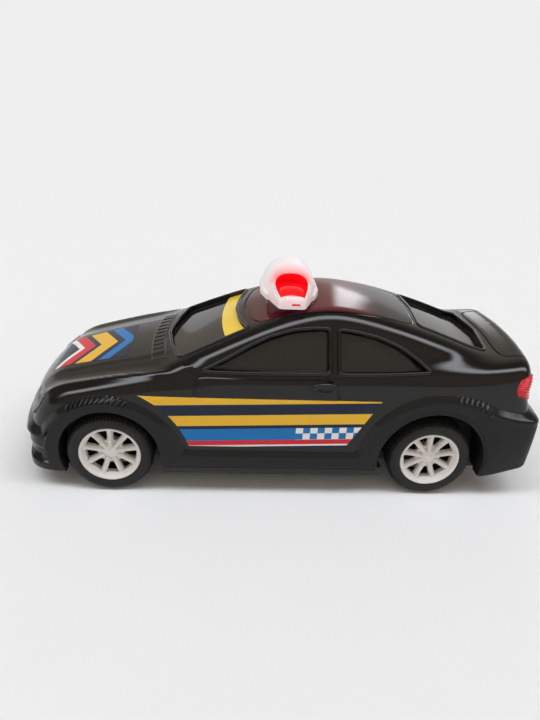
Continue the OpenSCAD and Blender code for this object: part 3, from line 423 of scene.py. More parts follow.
def shade_by_skin(made, level):
    """Gives faces that lie on the skin the skin's own slope as shading normals, so the gloss runs clean
    across the cuts; the walls of cuts keep the normal of their face."""
    mesh = made.data
    points = points_of(mesh)
    value = outside(*points.T)
    corner = np.zeros(len(mesh.loops), int)
    mesh.loops.foreach_get("vertex_index", corner)
    total = np.zeros(len(mesh.polygons), int)
    mesh.polygons.foreach_get("loop_total", total)
    facing = np.zeros(len(mesh.polygons) * 3)
    mesh.polygons.foreach_get("normal", facing)
    facing = np.repeat(facing.reshape(-1, 3), total, axis=0)
    skin = skin_slope(points, 0.02)[corner]
    side = np.sum(facing * skin, axis=1)
    near, facing_out = 0.06, 0.55
    outer_skin = (np.abs(value[corner] - level) < near) & (side > facing_out)
    inner_skin = (np.abs(value[corner] - level + WALL) < near) & (side < -facing_out)
    normal = np.where(outer_skin[:, None], skin, np.where(inner_skin[:, None], -skin, facing))
    mesh.normals_split_custom_set(normal.tolist())


shade_by_skin(shell, 0.0)


def linear(code):
    """An sRGB hex colour as linear RGBA."""
    c = np.array([int(code[k:k + 2], 16) for k in (1, 3, 5)]) / 255
    return (*np.where(c <= 0.04045, c / 12.92, ((c + 0.055) / 1.055) ** 2.4), 1.0)


def node(tree, kind, links=None, **settings):
    """Adds a node, sets its properties and sets or links its inputs."""
    made = tree.nodes.new(kind)
    for key, value in settings.items():
        setattr(made, key, value)
    for socket, value in (links or {}).items():
        if isinstance(value, bpy.types.NodeSocket):
            tree.links.new(value, made.inputs[socket])
        else:
            made.inputs[socket].default_value = value
    return made


def cells(size):
    """How many cells of a pattern lie in a metre, from the size of one in mm."""
    return 1 / (size * MM)


def finish_of(name, **sockets):
    """A new material with one Principled shader, its constant sockets set; words in names part at _."""
    material = bpy.data.materials.new(name)
    material.use_nodes = True
    tree = material.node_tree
    tree.nodes.clear()
    shader = node(tree, "ShaderNodeBsdfPrincipled")
    for key, value in sockets.items():
        shader.inputs[key.replace("_", " ")].default_value = value
    node(tree, "ShaderNodeOutputMaterial", {"Surface": shader.outputs[0]})
    return material, tree, shader


def join(tree, shader, links):
    """Links values to the sockets of a shader by their names."""
    for socket, value in links.items():
        tree.links.new(value, shader.inputs[socket])


def mask(tree, ramps):
    """The product of smooth ramps, each from 0 to 1 while a value runs from one place to another."""
    total = 1.0
    for value, start, end in ramps:
        ramp = node(tree, "ShaderNodeMapRange", {
            "Value": value, "From Min": start, "From Max": end,
        }, interpolation_type="SMOOTHSTEP")
        total = node(tree, "ShaderNodeMath", {0: total, 1: ramp.outputs[0]}, operation="MULTIPLY").outputs[0]
    return total


def dress(made, material, body="car_body"):
    """Gives a piece its material and the body that it rides on."""
    made.data.materials.clear()
    made.data.materials.append(material)
    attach(made, body)
    return made


# Polished black ABS: deep black with a sharp gloss, a faint ripple from moulding and some dust, drawn coarser
# than it is so that it shows; round the light bar a dull red reflection of the lens is painted on the roof
gloss_black, tree, shader = finish_of("abs_polished_black", IOR=1.54, Specular_IOR_Level=0.36)
place = node(tree, "ShaderNodeTexCoord").outputs["Object"]
cloud = node(tree, "ShaderNodeTexNoise", {"Vector": place, "Scale": cells(16.7), "Detail": 3.0})
dust = node(tree, "ShaderNodeTexNoise", {"Vector": place, "Scale": cells(0.714), "Detail": 1.0})
speck = node(tree, "ShaderNodeMapRange", {"Value": dust.outputs[0], "From Min": 0.76, "From Max": 0.84})
tint = node(tree, "ShaderNodeMix", {
    "Factor": speck.outputs[0], "A": linear("#120f0d"), "B": linear("#3a3733"),
}, data_type="RGBA")
part = node(tree, "ShaderNodeSeparateXYZ", {"Vector": place})
along = node(tree, "ShaderNodeMath", {0: part.outputs["X"], 1: -0.009}, operation="SUBTRACT")
along = node(tree, "ShaderNodeMath", {0: along.outputs[0]}, operation="ABSOLUTE")
across = node(tree, "ShaderNodeMath", {0: part.outputs["Y"]}, operation="ABSOLUTE")
# A painted reflection: the roof round the light bar's pad is tinted dull red, as if it mirrored the red lens
painted_lens_light = mask(tree, (
    (along.outputs[0], 0.034, 0.02), (across.outputs[0], 0.0222, 0.0205), (part.outputs["Z"], 0.069, 0.072),
))
tint = node(tree, "ShaderNodeMix", {
    "Factor": painted_lens_light, "A": tint.outputs["Result"], "B": linear("#5c1c23"),
}, data_type="RGBA")
polish = node(tree, "ShaderNodeMapRange", {"Value": cloud.outputs[0], "To Min": 0.09, "To Max": 0.17})
ripple = node(tree, "ShaderNodeTexNoise", {"Vector": place, "Scale": cells(9.09), "Detail": 1.0})
relief = node(tree, "ShaderNodeBump", {"Height": ripple.outputs[0], "Strength": 0.05, "Distance": 0.0006})
join(tree, shader, {
    "Base Color": tint.outputs["Result"], "Roughness": polish.outputs[0], "Normal": relief.outputs[0],
})
dress(shell, gloss_black)
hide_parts("body_shell")

# Skirt
# Bumpers, sills and wheel flares, one with the shell but left with the tool's spark grain, so they look
# satin. They stand 2.2 mm proud, with a rounded polished ledge on top and a line round the rear arch.
FAN_FRONT = 97.0
FAN_REAR = -92.0
FAN_REACH = 40.0
RING_FRONT = FAN_FRONT + FAN_REACH
RING_REAR = FAN_REAR - FAN_REACH
PROUD = 2.2
FOOT_R = 0.6


def ring_point(q, z, level):
    """Points round the lower car: straight out to the left at a place q along it, and beyond its corners on
    level rays that fan round to the middle of the nose or tail over the next 40 mm of q."""
    q, z, level = np.broadcast_arrays(q, z, level)
    corner = np.clip(q, FAN_REAR, FAN_FRONT)
    edge = leave_skin(stacked(corner, 0.0, z), np.array([0.0, 1.0, 0.0]), level)[..., 1]
    start = np.where(q == corner, corner, FAN_X * np.sign(q))
    first = np.arctan2(np.abs(corner - start), edge)
    turn = first + (np.pi / 2 - first) * np.abs(q - corner) / FAN_REACH
    return leave_skin(stacked(start, 0.0, z), stacked(np.sign(q) * np.sin(turn), np.cos(turn), 0.0), level)


ARCH_R = {"front": 20.9, "rear": 22.8}
CROWN_R = {"front": 27.2, "rear": 31.2}
FLARE_FOOT_R = 32.4

# Heights of the upper and lower edges of the front bumper, the sill and the rear bumper
FRONT_TOP, SILL_TOP, TAIL_TOP = 28.5, 21.4, 40.2
FRONT_LOW, SILL_LOW, TAIL_LOW = 8.2, 12.2, 17.4


def arc(end, first, last, count, flared):
    """Points round a wheel between two angles: on the arch's edge, or on the flare's top line, which swells
    from its crown to its feet by a power of the fall."""
    turn = np.radians(np.linspace(first, last, count, endpoint=False))
    swell = (FLARE_FOOT_R - CROWN_R[end]) * (1 - np.sin(turn)) ** 1.5
    radius = CROWN_R[end] + swell if flared else np.full(count, ARCH_R[end])
    return np.stack([WHEELS_X[end] + radius * np.cos(turn), AXLE_Z + radius * np.sin(turn)], -1)


def run(corners, count):
    """An even walk along straight stretches, without its last point."""
    c = np.asarray(corners, float)
    length = np.concatenate([[0], np.cumsum(np.linalg.norm(np.diff(c, axis=0), axis=1))])
    walk = np.linspace(0, length[-1], count, endpoint=False)
    return np.stack([np.interp(walk, length, c[:, k]) for k in range(2)], -1)


def evened(line, reach):
    """Each point of an open line as the mean of its neighbours within a reach, with the two ends kept."""
    wide = np.pad(line, ((reach, reach), (0, 0)), mode="edge")
    mean = np.mean([wide[k:k + len(line)] for k in range(2 * reach + 1)], axis=0)
    return np.concatenate([line[:1], mean[1:-1], line[-1:]])


front, rear = WHEELS_X["front"], WHEELS_X["rear"]
top_edge = evened(np.concatenate([
    run([[RING_FRONT, FRONT_TOP], [100, FRONT_TOP]], 80), arc("front", 19.5, 175, 340, True),
    run([[38.6, SILL_TOP], [-32.6, SILL_TOP]], 60), arc("rear", 5, 90, 110, True),
    run([[rear, 49.2], [-74, 48.9], [-82, 46.8], [-90, 43], [-98, 40.6]], 150),
    run([[-98, 40.6], [RING_REAR, TAIL_TOP]], 60), [[RING_REAR, TAIL_TOP]],
]), 5)
low_edge = evened(np.concatenate([
    run([[RING_FRONT, FRONT_LOW], [89, FRONT_LOW]], 80), arc("front", -27.9, 193.5, 340, False),
    run([[50.1, SILL_LOW], [-42.3, SILL_LOW]], 60),
    arc("rear", -13.5, 90, 110, False), arc("rear", 90, 199.5, 150, False),
    run([[-86, 10.4], [-92, 11.2], [-100, 14.4], [-110, 17], [RING_REAR, TAIL_LOW]], 60),
    [[RING_REAR, TAIL_LOW]],
]), 2)
down = low_edge - top_edge
width = np.linalg.norm(down, axis=1)
down /= width[:, None]
at_tail = ease((-76 - top_edge[:, 0]) / 14)
reach = np.minimum(3.4 + 1.4 * at_tail, 0.42 * width)
brow = 0.82 - 0.3 * at_tail
ledge = np.linspace(0, 1, 14)[:, None]
face = np.linspace(0, 1, 28)[1:, None]
foot = np.radians(np.linspace(0, 90, 5))[1:, None]
even = np.ones_like(width)

# Rows across the skirt: hidden root, sloping ledge with a rounded brow, face, lower corner, hidden inner edge
away = np.vstack([
    0 * width, reach * ledge, reach + (width - reach - FOOT_R) * face,
    width - FOOT_R * (1 - np.sin(foot)), width,
])
proud = np.vstack([
    -0.6 * even, soft_min(PROUD * ledge / brow, PROUD + 0 * ledge, 0.7), PROUD + 0 * face * even,
    PROUD - FOOT_R * (1 - np.cos(foot)) * even, -1.2 * even,
])
proud *= 1 + 0.8 * bump(top_edge[:, 0] + 102, 14)
on_ledge = np.vstack([
    0 * even, ease(ledge / 0.12) * ease((1.02 - ledge) / 0.15) * even,
    0 * face * even, 0 * foot * even, 0 * even,
])
on_face = np.vstack([0 * even, 0 * ledge * even, 1 + 0 * face * even, 1 + 0 * foot * even, 0 * even])
q = top_edge[:, 0] + away * down[:, 0]
z = top_edge[:, 1] + away * down[:, 1]

# Bands set back along the rear arch's edge and the foot of the sill
rear_edge = bump(np.hypot(low_edge[:, 0] - rear, low_edge[:, 1] - AXLE_Z) - ARCH_R["rear"], 0.8)
proud -= 0.5 * on_face * rear_edge * ease((3.3 - width + away) / 0.5)
on_sill = ease((46 - q) / 4) * ease((q + 40) / 4)
proud -= 0.45 * on_face * on_sill * ease((14.6 - z) / 0.4)

# Twelve ribs on the front flare's ledge, by the angle round its wheel, and slanted louvres behind the rear
# flare's crown, by the share of the way to the tail
RIB_PITCH = 4.6
LOUVRE_PITCH = 0.05
flare_turn = np.degrees(np.arctan2(top_edge[:, 1] - AXLE_Z, top_edge[:, 0] - front))
ribbed = ease((flare_turn - 55) / 0.8) * ease((110.4 - flare_turn) / 0.8)
rib_wave = ease(0.5 + 1.2 * np.cos(2 * np.pi * (flare_turn - 57.3) / RIB_PITCH))
shelf = (rear - top_edge[:, 0]) / 46.5
louvred = ease((shelf - 0.13) / 0.02) * ease((0.48 - shelf) / 0.02)
slant = np.vstack([0 * even, ledge * even, 1 + 0 * face * even, 1 + 0 * foot * even, even])
louvre_wave = ease(0.5 + 0.9 * np.cos(2 * np.pi * (shelf / LOUVRE_PITCH + 0.8 * slant)))
proud += on_ledge * (ribbed * (0.8 * rib_wave - 0.1) + louvred * (0.8 * louvre_wave - 0.3))

# The front bumper, set back from the flare and from its own lower lip, with a duct at each end of the lip
# and an intake pressed into its middle
bumper = on_face * ease((np.hypot(q - front, z - AXLE_Z) - 26.2) / 0.5) * (q > front)
proud -= bumper * ease((z - 11.6) / 0.9) * (0.75 + 0.4 * ease((19.6 - z) / 0.8))
proud -= 1.0 * bumper * ease((0.11 * (118 - q) - np.abs(z - 14.2)) / 0.6) * ease((q - 99) / 1.0)
flat = ring_point(q, z, proud)
aside = np.maximum(np.abs(flat[..., 1]) - 20, 0)
past = np.hypot(aside, np.maximum(np.abs(flat[..., 2] - 18.5) - 0.5, 0)) - 3
proud -= 1.0 * ease(-past / 0.8) * on_face * (flat[..., 0] > 90)
skirt_grid = ring_round(ring_point(q, z, proud))
polished = np.maximum(on_ledge > 0.05, bumper)
polished = np.concatenate([polished, polished[:, -2:0:-1]], axis=1)
skirt = piece(
    "bumpers_and_flares", skirt_grid,
    quads(*skirt_grid.shape[:2], join_rows=True, join_cols=True).tolist(), 40, polished,
)

# Satin black ABS: an eroded grain, finer than the 0.385 mm at which it is drawn so that it shows, and
# polished on the ledges and over the front bumper
satin_black, tree, shader = finish_of("abs_satin_black", IOR=1.5, Specular_IOR_Level=0.24)
place = node(tree, "ShaderNodeTexCoord").outputs["Object"]
gloss = node(tree, "ShaderNodeAttribute", attribute_name="mark").outputs["Fac"]
grain = node(tree, "ShaderNodeTexNoise", {"Vector": place, "Scale": cells(0.385), "Detail": 2.0})
rough = node(tree, "ShaderNodeMapRange", {"Value": gloss, "To Min": 0.5, "To Max": 0.14})
tint = node(tree, "ShaderNodeMix", {
    "Factor": grain.outputs[0], "A": linear("#171716"), "B": linear("#222221"),
}, data_type="RGBA")
depth = node(tree, "ShaderNodeMapRange", {"Value": gloss, "To Min": 0.22, "To Max": 0.0})
relief = node(tree, "ShaderNodeBump", {
    "Height": grain.outputs[0], "Strength": depth.outputs[0], "Distance": 0.0002,
})
join(tree, shader, {
    "Base Color": tint.outputs["Result"], "Roughness": rough.outputs[0], "Normal": relief.outputs[0],
})
dress(skirt, satin_black)
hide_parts("body_shell")

# Wheel wells, moulded inside the shell: a round roof over each wheel and a wall behind it
WELL_ENDS = {"front": (-26, 191), "rear": (-12, 197)}


def well(end):
    """A trough round a wheel: its section of inner wall and roof, carried round the axle's line."""
    roof = ARCH_R[end] + 0.4
    turn = np.radians(np.linspace(*WELL_ENDS[end], 90))[:, None]
    radius, y = np.array([
        [3.6, 26.6], [roof, 26.6], [roof, 38], [roof + 0.5, 38], [roof + 0.5, 26], [3.6, 26],
    ]).T
    return lofted(stacked(WHEELS_X[end] + radius * np.cos(turn), y, AXLE_Z + radius * np.sin(turn)))


def gathered(parts):
    """Several lists of points and faces as one."""
    points = [p.reshape(-1, 3) for p, _ in parts]
    starts = np.cumsum([0] + [len(p) for p in points])
    faces = [[int(k) + int(start) for k in f] for (_, group), start in zip(parts, starts) for f in group]
    return np.concatenate(points), faces


hollows = [well("front"), well("rear")]
hollows += [(mirrored(points), faces) for points, faces in hollows]
wells = piece("wheel_wells", *gathered(hollows), 40)
dress(wells, satin_black)
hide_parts("body_shell")

# Window frames
# A thin raised bead that the shell's tool forms round every window, in the shell's own gloss black.
# Door and quarter windows have one each, so the door post shows two beads with a dark gap between.
SIDE_BEAD_R = 0.8
TOP_BEAD_R = 0.75
beads = []
for outline in side_outlines:
    path = on_side(outline[:, 0], outline[:, 1], 0.1)
    beads += [tube(line, SIDE_BEAD_R, True, 12, 0.9) for line in (path, mirrored(path))]
for outline in top_outlines:
    beads.append(tube(on_top(outline[:, 0], outline[:, 1], 0.05), TOP_BEAD_R, True, 12, 0.75))
frames = piece("window_frames", *gathered(beads), 60)
dress(frames, gloss_black)
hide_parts("body_shell")

# Glazing
# One smoked polystyrene canopy that lies against the inside of the cabin and shows in every window.
# It is moulded clear, tinted right through and heat-staked to the shell.
GLASS_LEVELS = (-1.72, -2.92)


def slab(outer, inner):
    """A closed sheet between two grids of points: both faces and the rim that joins their edges."""
    rows, cols = outer.shape[:2]
    n = rows * cols
    index = np.arange(n).reshape(rows, cols)
    edge = np.concatenate([index[0, :-1], index[:-1, -1], index[-1, :0:-1], index[:0:-1, 0]])
    rim = np.stack([edge, np.roll(edge, -1), n + np.roll(edge, -1), n + edge], -1)
    faces = np.concatenate([quads(rows, cols), n + quads(rows, cols), rim])
    return np.concatenate([outer.reshape(-1, 3), inner.reshape(-1, 3)]), faces.tolist()


canopy_x = np.concatenate([np.linspace(48, -FAN_X, 80), np.full(20, -FAN_X)])
canopy_fan = np.radians(np.concatenate([np.zeros(80), -np.linspace(1.6, 41, 20)]))
canopy_turn = np.radians(np.linspace(30, 150, 90))[:, None]


def canopy(level):
    """The skin at a level over the cabin: rays that tilt from the left sill over the roof to the right one,
    fanned backwards at the rear."""
    way = stacked(np.sin(canopy_fan), np.cos(canopy_fan) * np.cos(canopy_turn),
                  np.cos(canopy_fan) * np.sin(canopy_turn))
    return leave_skin(stacked(canopy_x, 0.0, RAY_Z + 0 * canopy_turn), way, level)


glazing = piece("smoked_canopy", *slab(*(canopy(level) for level in GLASS_LEVELS)), 40)


def moulded(name, dark, light, size, detail, rough, relief=None, fine=None,
            pattern="ShaderNodeTexNoise", **sockets):
    """A finish whose tone, polish and, if asked, relief follow one pattern with cells of a size in mm, or
    polish and relief a finer one; returns the material, its tree and shader, and the tone."""
    material, tree, shader = finish_of(name, **sockets)
    place = node(tree, "ShaderNodeTexCoord").outputs["Object"]
    grain = node(tree, pattern, {"Vector": place, "Scale": cells(size), "Detail": detail}).outputs[0]
    tone = node(tree, "ShaderNodeMix", {
        "Factor": grain, "A": linear(dark), "B": linear(light),
    }, data_type="RGBA").outputs["Result"]
    if fine:
        grain = node(tree, pattern, {"Vector": place, "Scale": cells(fine[0]), "Detail": fine[1]}).outputs[0]
    polish = node(tree, "ShaderNodeMapRange", {"Value": grain, "To Min": rough[0], "To Max": rough[1]})
    join(tree, shader, {"Base Color": tone, "Roughness": polish.outputs[0]})
    if relief:
        raised = node(tree, "ShaderNodeBump", {"Height": grain, "Strength": relief[0], "Distance": relief[1]})
        join(tree, shader, {"Normal": raised.outputs[0]})
    return material, tree, shader, tone


# Smoked clear polystyrene: sharp reflections over a warm grey see-through tint, a little wavy
smoked, *_ = moulded(
    "polystyrene_smoked_clear", "#524d46", "#5e574f", 25.0, 1.0, (0.03, 0.09), (0.06, 0.001),
    IOR=1.5, Transmission_Weight=0.86)
dress(glazing, smoked)
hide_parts("window_insert")

# Lamps
# Headlights of clear polystyrene over a silvered back, and tail lights of transparent red.
# Each is a fluted lens pressed into a pocket of the shell from inside, its edge a little below the skin.


def lens(x, corners, flutes, across):
    """A lens on the skin between four corners of fanned rays: a square grid drawn in at its corners, its
    height 0.5 mm proud with cosine flutes, and rolled under the skin over the last seventh."""
    s, t = np.meshgrid(np.linspace(-1, 1, 71), np.linspace(-1, 1, 71), indexing="ij")
    u = 0.5 + 0.5 * s * np.sqrt(1 - 0.3 * t**2)
    v = 0.5 + 0.5 * t * np.sqrt(1 - 0.3 * s**2)
    c = np.radians(corners)
    u, v = u[..., None], v[..., None]
    turn = (1 - u) * ((1 - v) * c[0] + v * c[1]) + u * ((1 - v) * c[3] + v * c[2])
    way = stacked(np.sin(turn[..., 0]), np.cos(turn[..., 0]) * np.cos(turn[..., 1]),
                  np.cos(turn[..., 0]) * np.sin(turn[..., 1]))
    edge = ease((np.maximum(np.abs(s), np.abs(t)) - 0.86) / 0.14)
    wave = 0.13 * np.cos(np.pi * flutes * (t if across else s)) * (1 - edge)
    start = np.array([x, 0.0, RAY_Z])
    return slab(leave_skin(start, way, 0.5 + wave - 1.1 * edge), leave_skin(start, way, -1.1 + 0 * s))


# Corners of the lamps as angles of their rays in degrees: towards the end of the car, and up
HEADLIGHT = [[42, 18], [48, 1], [62, 2], [58.4, 25.6]]
TAIL_LIGHT = [[-33.4, 34.5], [-35, 24.5], [-53, 21.5], [-51, 45]]

# Clear polystyrene on a silvered back: small facets with a painted glint in the middle and painted shade at
# the edge, under a sharp gloss
clear_lens, *_ = moulded(
    "polystyrene_clear_on_silver", "#a8a7a3", "#5a5855", 3.125, 0.0, (0.12, 0.34),
    pattern="ShaderNodeTexVoronoi", IOR=1.55, Metallic=0.55, Coat_Weight=1.0, Coat_Roughness=0.04)

# Clear red polystyrene: small facets with painted shading, bright red in the middle to deep red at the edge
red_lens, *_ = moulded(
    "polystyrene_clear_red", "#f02a33", "#a50f1b", 3.33, 0.0, (0.1, 0.3),
    pattern="ShaderNodeTexVoronoi", IOR=1.55, Specular_IOR_Level=0.35)
for side in ("left", "right"):
    for kind, x, corners, flutes, across, finish, slot in (
        ("headlight", FAN_X, HEADLIGHT, 12, False, clear_lens, "lamp_clear"),
        ("tail_light", -FAN_X, TAIL_LIGHT, 10, True, red_lens, "lamp_red"),
    ):
        points, faces = lens(x, corners, flutes, across)
        made = piece(f"{kind}_lens_{side}", points if side == "left" else mirrored(points), faces, 50)
        dress(made, finish)
        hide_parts(f"{kind}_{side}")

# Cowl vents and door handles
# A slotted air panel at the foot of the windscreen and an oval pull on each door, both moulded in the
# shell as shallow relief and polished with it.
VENT_X = 53.4
VENT_HALF_LENGTH = 25
SLOT_PITCH = 4.2
along = np.linspace(-VENT_HALF_LENGTH, VENT_HALF_LENGTH, 501)
grid_x, grid_y = np.meshgrid(np.linspace(-1, 1, 41), along, indexing="ij")
panel_x = VENT_X - 2.4 * (grid_y / VENT_HALF_LENGTH) ** 2 + 3.2 * grid_x
edge = np.maximum(ease((np.abs(grid_x) - 0.84) / 0.16), ease((np.abs(grid_y) - 24) / 1))
slot_shape = ease((np.cos(2 * np.pi * grid_y / SLOT_PITCH) - 0.1) / 0.5)
slot_shape = slot_shape * ease((0.72 - np.abs(grid_x)) / 0.16)
height = 0.32 - 0.75 * slot_shape * (np.abs(grid_y) < 23.2) - 0.7 * edge
vents = piece("cowl_vents", *slab(
    on_top(panel_x, grid_y, height), on_top(panel_x, grid_y, -0.9 + 0 * grid_x)), 50)
dress(vents, gloss_black)
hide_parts("body_shell")


def oval(x, z, half_len, half_high, profile):
    """A closed oval boss on the flank: rings from its middle outwards, at levels from the profile, and back
    under the skin to a buried middle."""
    share, level = np.array(profile).T
    turn = np.linspace(0, 2 * np.pi, 96, endpoint=False)
    share = share[:, None]
    grid = on_side(x + half_len * share * np.cos(turn), z + half_high * share * np.sin(turn),
                   level[:, None] + 0 * turn)
    return grid, quads(*grid.shape[:2], join_cols=True).tolist()


pull = oval(-16.6, 51.6, 5.6, 2.1, [
    [0, 0.45], [0.3, 0.45], [0.52, 0.55], [0.66, 0.8], [0.8, 0.9], [0.9, 0.75], [0.97, 0.4], [1, -0.2],
    [0.9, -0.8], [0, -0.8],
])
handles = piece("door_pulls", *gathered([pull, (mirrored(pull[0]), pull[1])]), 50)
dress(handles, gloss_black)
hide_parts("body_shell")

# Decals
# Printed films on the doors, the bonnet and the head of the windscreen: plain stripes, checks and chevrons
# in the toy's yellow, navy, blue, red and white, laid on the finished shell.
YELLOW, NAVY, BLUE, RED, WHITE = (linear(c) for c in ("#e6b32f", "#131d38", "#0b70b4", "#d3222f", "#e9e6e2"))
FILM_LEVELS = (0.1, -0.25)
STRIP_LEVELS = (-1.5, -1.8)
DOOR_FILM_Z = (23.2, 45.8)


def arch_gap(z):
    """How far from a wheel the flare's top line lies at a height, with a 1.4 mm margin."""
    radius = 30.4 + 3.4 * (1 - (z - AXLE_Z) / 30) ** 1.5
    return np.sqrt(radius**2 - (z - AXLE_Z) ** 2)


s, z = np.meshgrid(np.linspace(0, 1, 241), np.linspace(*DOOR_FILM_Z, 61), indexing="ij")
first_x = front - arch_gap(z)
last_x = np.maximum(rear + arch_gap(z), -40.4 + 0.6 * (DOOR_FILM_Z[1] - z))
x = first_x + (last_x - first_x) * s
door_film = slab(*(on_side(x, z, level + 0 * z) for level in FILM_LEVELS))
doors = piece("door_decals", *gathered([door_film, (mirrored(door_film[0]), door_film[1])]), 50)

x, y = np.meshgrid(np.linspace(66, 97.6, 81), np.linspace(-1, 1, 121), indexing="ij")
y = y * (17.2 - 3.2 * (x - 66) / 31.6)
bonnet = piece("bonnet_decal", *slab(*(on_top(x, y, level + 0 * x) for level in FILM_LEVELS)), 50)

# Printed vinyl: flat process colours under a clear gloss, with a trace of the print's grain, drawn coarser
# than its dots. The bands follow height on the doors, tilted a little, and arrows forward on the bonnet.
door_bands = [
    (0.0, NAVY), (0.1, WHITE), (0.13, RED), (0.22, BLUE), (0.44, NAVY), (0.5, YELLOW), (0.68, NAVY),
    (0.87, YELLOW),
]
bonnet_bands = [
    (0.0, NAVY), (0.2, BLUE), (0.32, NAVY), (0.4, YELLOW), (0.58, NAVY), (0.64, RED), (0.76, WHITE),
    (0.82, NAVY),
]
for made, name, first, slope, second, start, end, stripes in (
    (doors, "vinyl_printed_stripes", "X", 0.035, "Z", 0.0212, 0.0472, door_bands),
    (bonnet, "vinyl_printed_chevrons", "aside", -0.55, "X", 0.056, 0.098, bonnet_bands),
):
    vinyl, tree, shader = finish_of(name, IOR=1.5, Specular_IOR_Level=0.3)
    place = node(tree, "ShaderNodeTexCoord").outputs["Object"]
    part = node(tree, "ShaderNodeSeparateXYZ", {"Vector": place}).outputs
    aside = node(tree, "ShaderNodeMath", {0: part["Y"]}, operation="ABSOLUTE").outputs[0]
    ways = {"X": part["X"], "Z": part["Z"], "aside": aside}
    tilted = node(tree, "ShaderNodeMath", {
        0: ways[first], 1: slope, 2: ways[second],
    }, operation="MULTIPLY_ADD").outputs[0]
    height = node(tree, "ShaderNodeMapRange", {
        "Value": tilted, "From Min": start, "From Max": end,
    }).outputs[0]
    bands = node(tree, "ShaderNodeValToRGB", {"Fac": height})
    bands.color_ramp.interpolation = "CONSTANT"
    for k, (where, colour) in enumerate(stripes):
        stop = bands.color_ramp.elements[k] if k < 2 else bands.color_ramp.elements.new(where)
        stop.position, stop.color = where, colour
    print_colour = bands.outputs[0]

    # Two rows of checks, 3 mm square, on the rear half of the doors' blue band
    if made is doors:
        flat_place = node(tree, "ShaderNodeCombineXYZ", {"X": part["X"], "Y": 0.0005, "Z": tilted})
        checks = node(tree, "ShaderNodeTexChecker", {
            "Vector": flat_place.outputs[0], "Color1": WHITE, "Color2": BLUE, "Scale": 333.0,
        })
        row = 1.0
        for value, limit, test in (
            (height, 0.22, "GREATER_THAN"), (height, 0.44, "LESS_THAN"), (part["X"], -0.006, "LESS_THAN"),
        ):
            inside = node(tree, "ShaderNodeMath", {0: value, 1: limit}, operation=test).outputs[0]
            row = node(tree, "ShaderNodeMath", {0: row, 1: inside}, operation="MULTIPLY").outputs[0]
        print_colour = node(tree, "ShaderNodeMix", {
            "Factor": row, "A": print_colour, "B": checks.outputs[0],
        }, data_type="RGBA").outputs["Result"]
    print_grain = node(tree, "ShaderNodeTexNoise", {"Vector": place, "Scale": cells(0.333), "Detail": 1.0})
    rough = node(tree, "ShaderNodeMapRange", {"Value": print_grain.outputs[0], "To Min": 0.25, "To Max": 0.4})
    join(tree, shader, {"Base Color": print_colour, "Roughness": rough.outputs[0]})
    dress(made, vinyl)
    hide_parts("body_shell")

s, y = np.meshgrid(np.linspace(0, 1, 21), np.linspace(-25, 25, 161), indexing="ij")
x = (19.6 - 5.0 * (y / 24) ** 2) * (1 - s) + (26.0 - 3.0 * (y / 26) ** 2) * s
strip = piece("screen_strip", *slab(*(on_top(x, y, level + 0 * x) for level in STRIP_LEVELS)), 50)

# Printed yellow vinyl: one warm, even yellow with a soft gloss
printed_strip, *_ = moulded(
    "vinyl_printed_yellow", "#f2c81e", "#f8d52a", 2.0, 2.0, (0.28, 0.42),
    IOR=1.5, Coat_Weight=0.4, Coat_Roughness=0.15)
dress(strip, printed_strip)
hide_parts("window_insert")

# Light bar
# A milky housing shaped like a boat across the roof, open at its sloping ends, with a red lens in the left
# nest and a blue one in the right. Housing and lenses are clear-tinted mouldings on two pegs in the pad.
BAR_SEAT = PAD_TOP + 0.25
BAR_HALF_LENGTH = 25
BAR_HALF_WIDTH = 11.5
BAR_HEIGHT = 13
BAR_END_Y = 23.6
NEST_FLOOR = 2.2
NEST_HIGH = 8.4


def bar_rings(y, half, height, power, floor, flange):
    """Arched outlines across the roof at places y: superellipses of a half-width and height above a floor,
    with a flange that steps out at the foot."""
    turn = np.linspace(0, np.pi, 97)
    c, s = np.cos(turn), np.sin(turn)
    power, half, height, flange = (np.asarray(v)[:, None] for v in (power, half, height, flange))
    up = np.abs(s) ** (2 / power) * height
    out = np.sign(c) * np.abs(c) ** (2 / power) * half + np.sign(c) * flange * ease((2.9 - up) / 0.5)
    return stacked(BAR_X + out, y[:, None], BAR_SEAT + floor + up)


def bar_taper(y):
    """The share of the way from the housing's full middle to its low end."""
    return np.clip((np.abs(y) - 6) / 19, 0, 1)


def bar_half(y):
    """Half the housing's width at a place across the roof."""
    return BAR_HALF_WIDTH - 6.3 * bar_taper(y) ** 1.15


end_y = np.linspace(BAR_END_Y, BAR_HALF_LENGTH, 9)
y = np.concatenate([-end_y[::-1], np.linspace(-BAR_END_Y, BAR_END_Y, 120)[1:-1], end_y])
rounding = 1.3 * (1 - np.sqrt(np.maximum(1 - (np.maximum(np.abs(y) - BAR_END_Y, 0) / 1.4) ** 2, 0)))
flange = 0.9 * ease((15 - np.abs(y)) / 1.2)
taper = bar_taper(y)
housing = piece("bar_housing", *lofted(bar_rings(
    y, bar_half(y) - rounding, BAR_HEIGHT - 8.7 * taper - rounding, 2.1 + 1.9 * taper, 0.0, flange)), 35)
for side in (1, -1):
    y = side * np.linspace(1.6, 23.3, 60)
    thin = 1.0 + 0.7 * (1 - bar_taper(y))
    nest = bar_rings(y, bar_half(y) - thin, NEST_HIGH + 0 * y, 2.1 + 1.2 * bar_taper(y), NEST_FLOOR, 0 * y)
    combine(housing, piece("bar_nest", *lofted(nest)), "DIFFERENCE")
mesh = housing.data
x, y, z = points_of(mesh).T
taper = bar_taper(y)
power = 2.1 + 1.2 * taper
inside = (np.abs(x - BAR_X) / (bar_half(y) - 1.7 + 0.7 * taper)) ** power
inside += (np.maximum(z - BAR_SEAT - NEST_FLOOR, 0) / NEST_HIGH) ** power
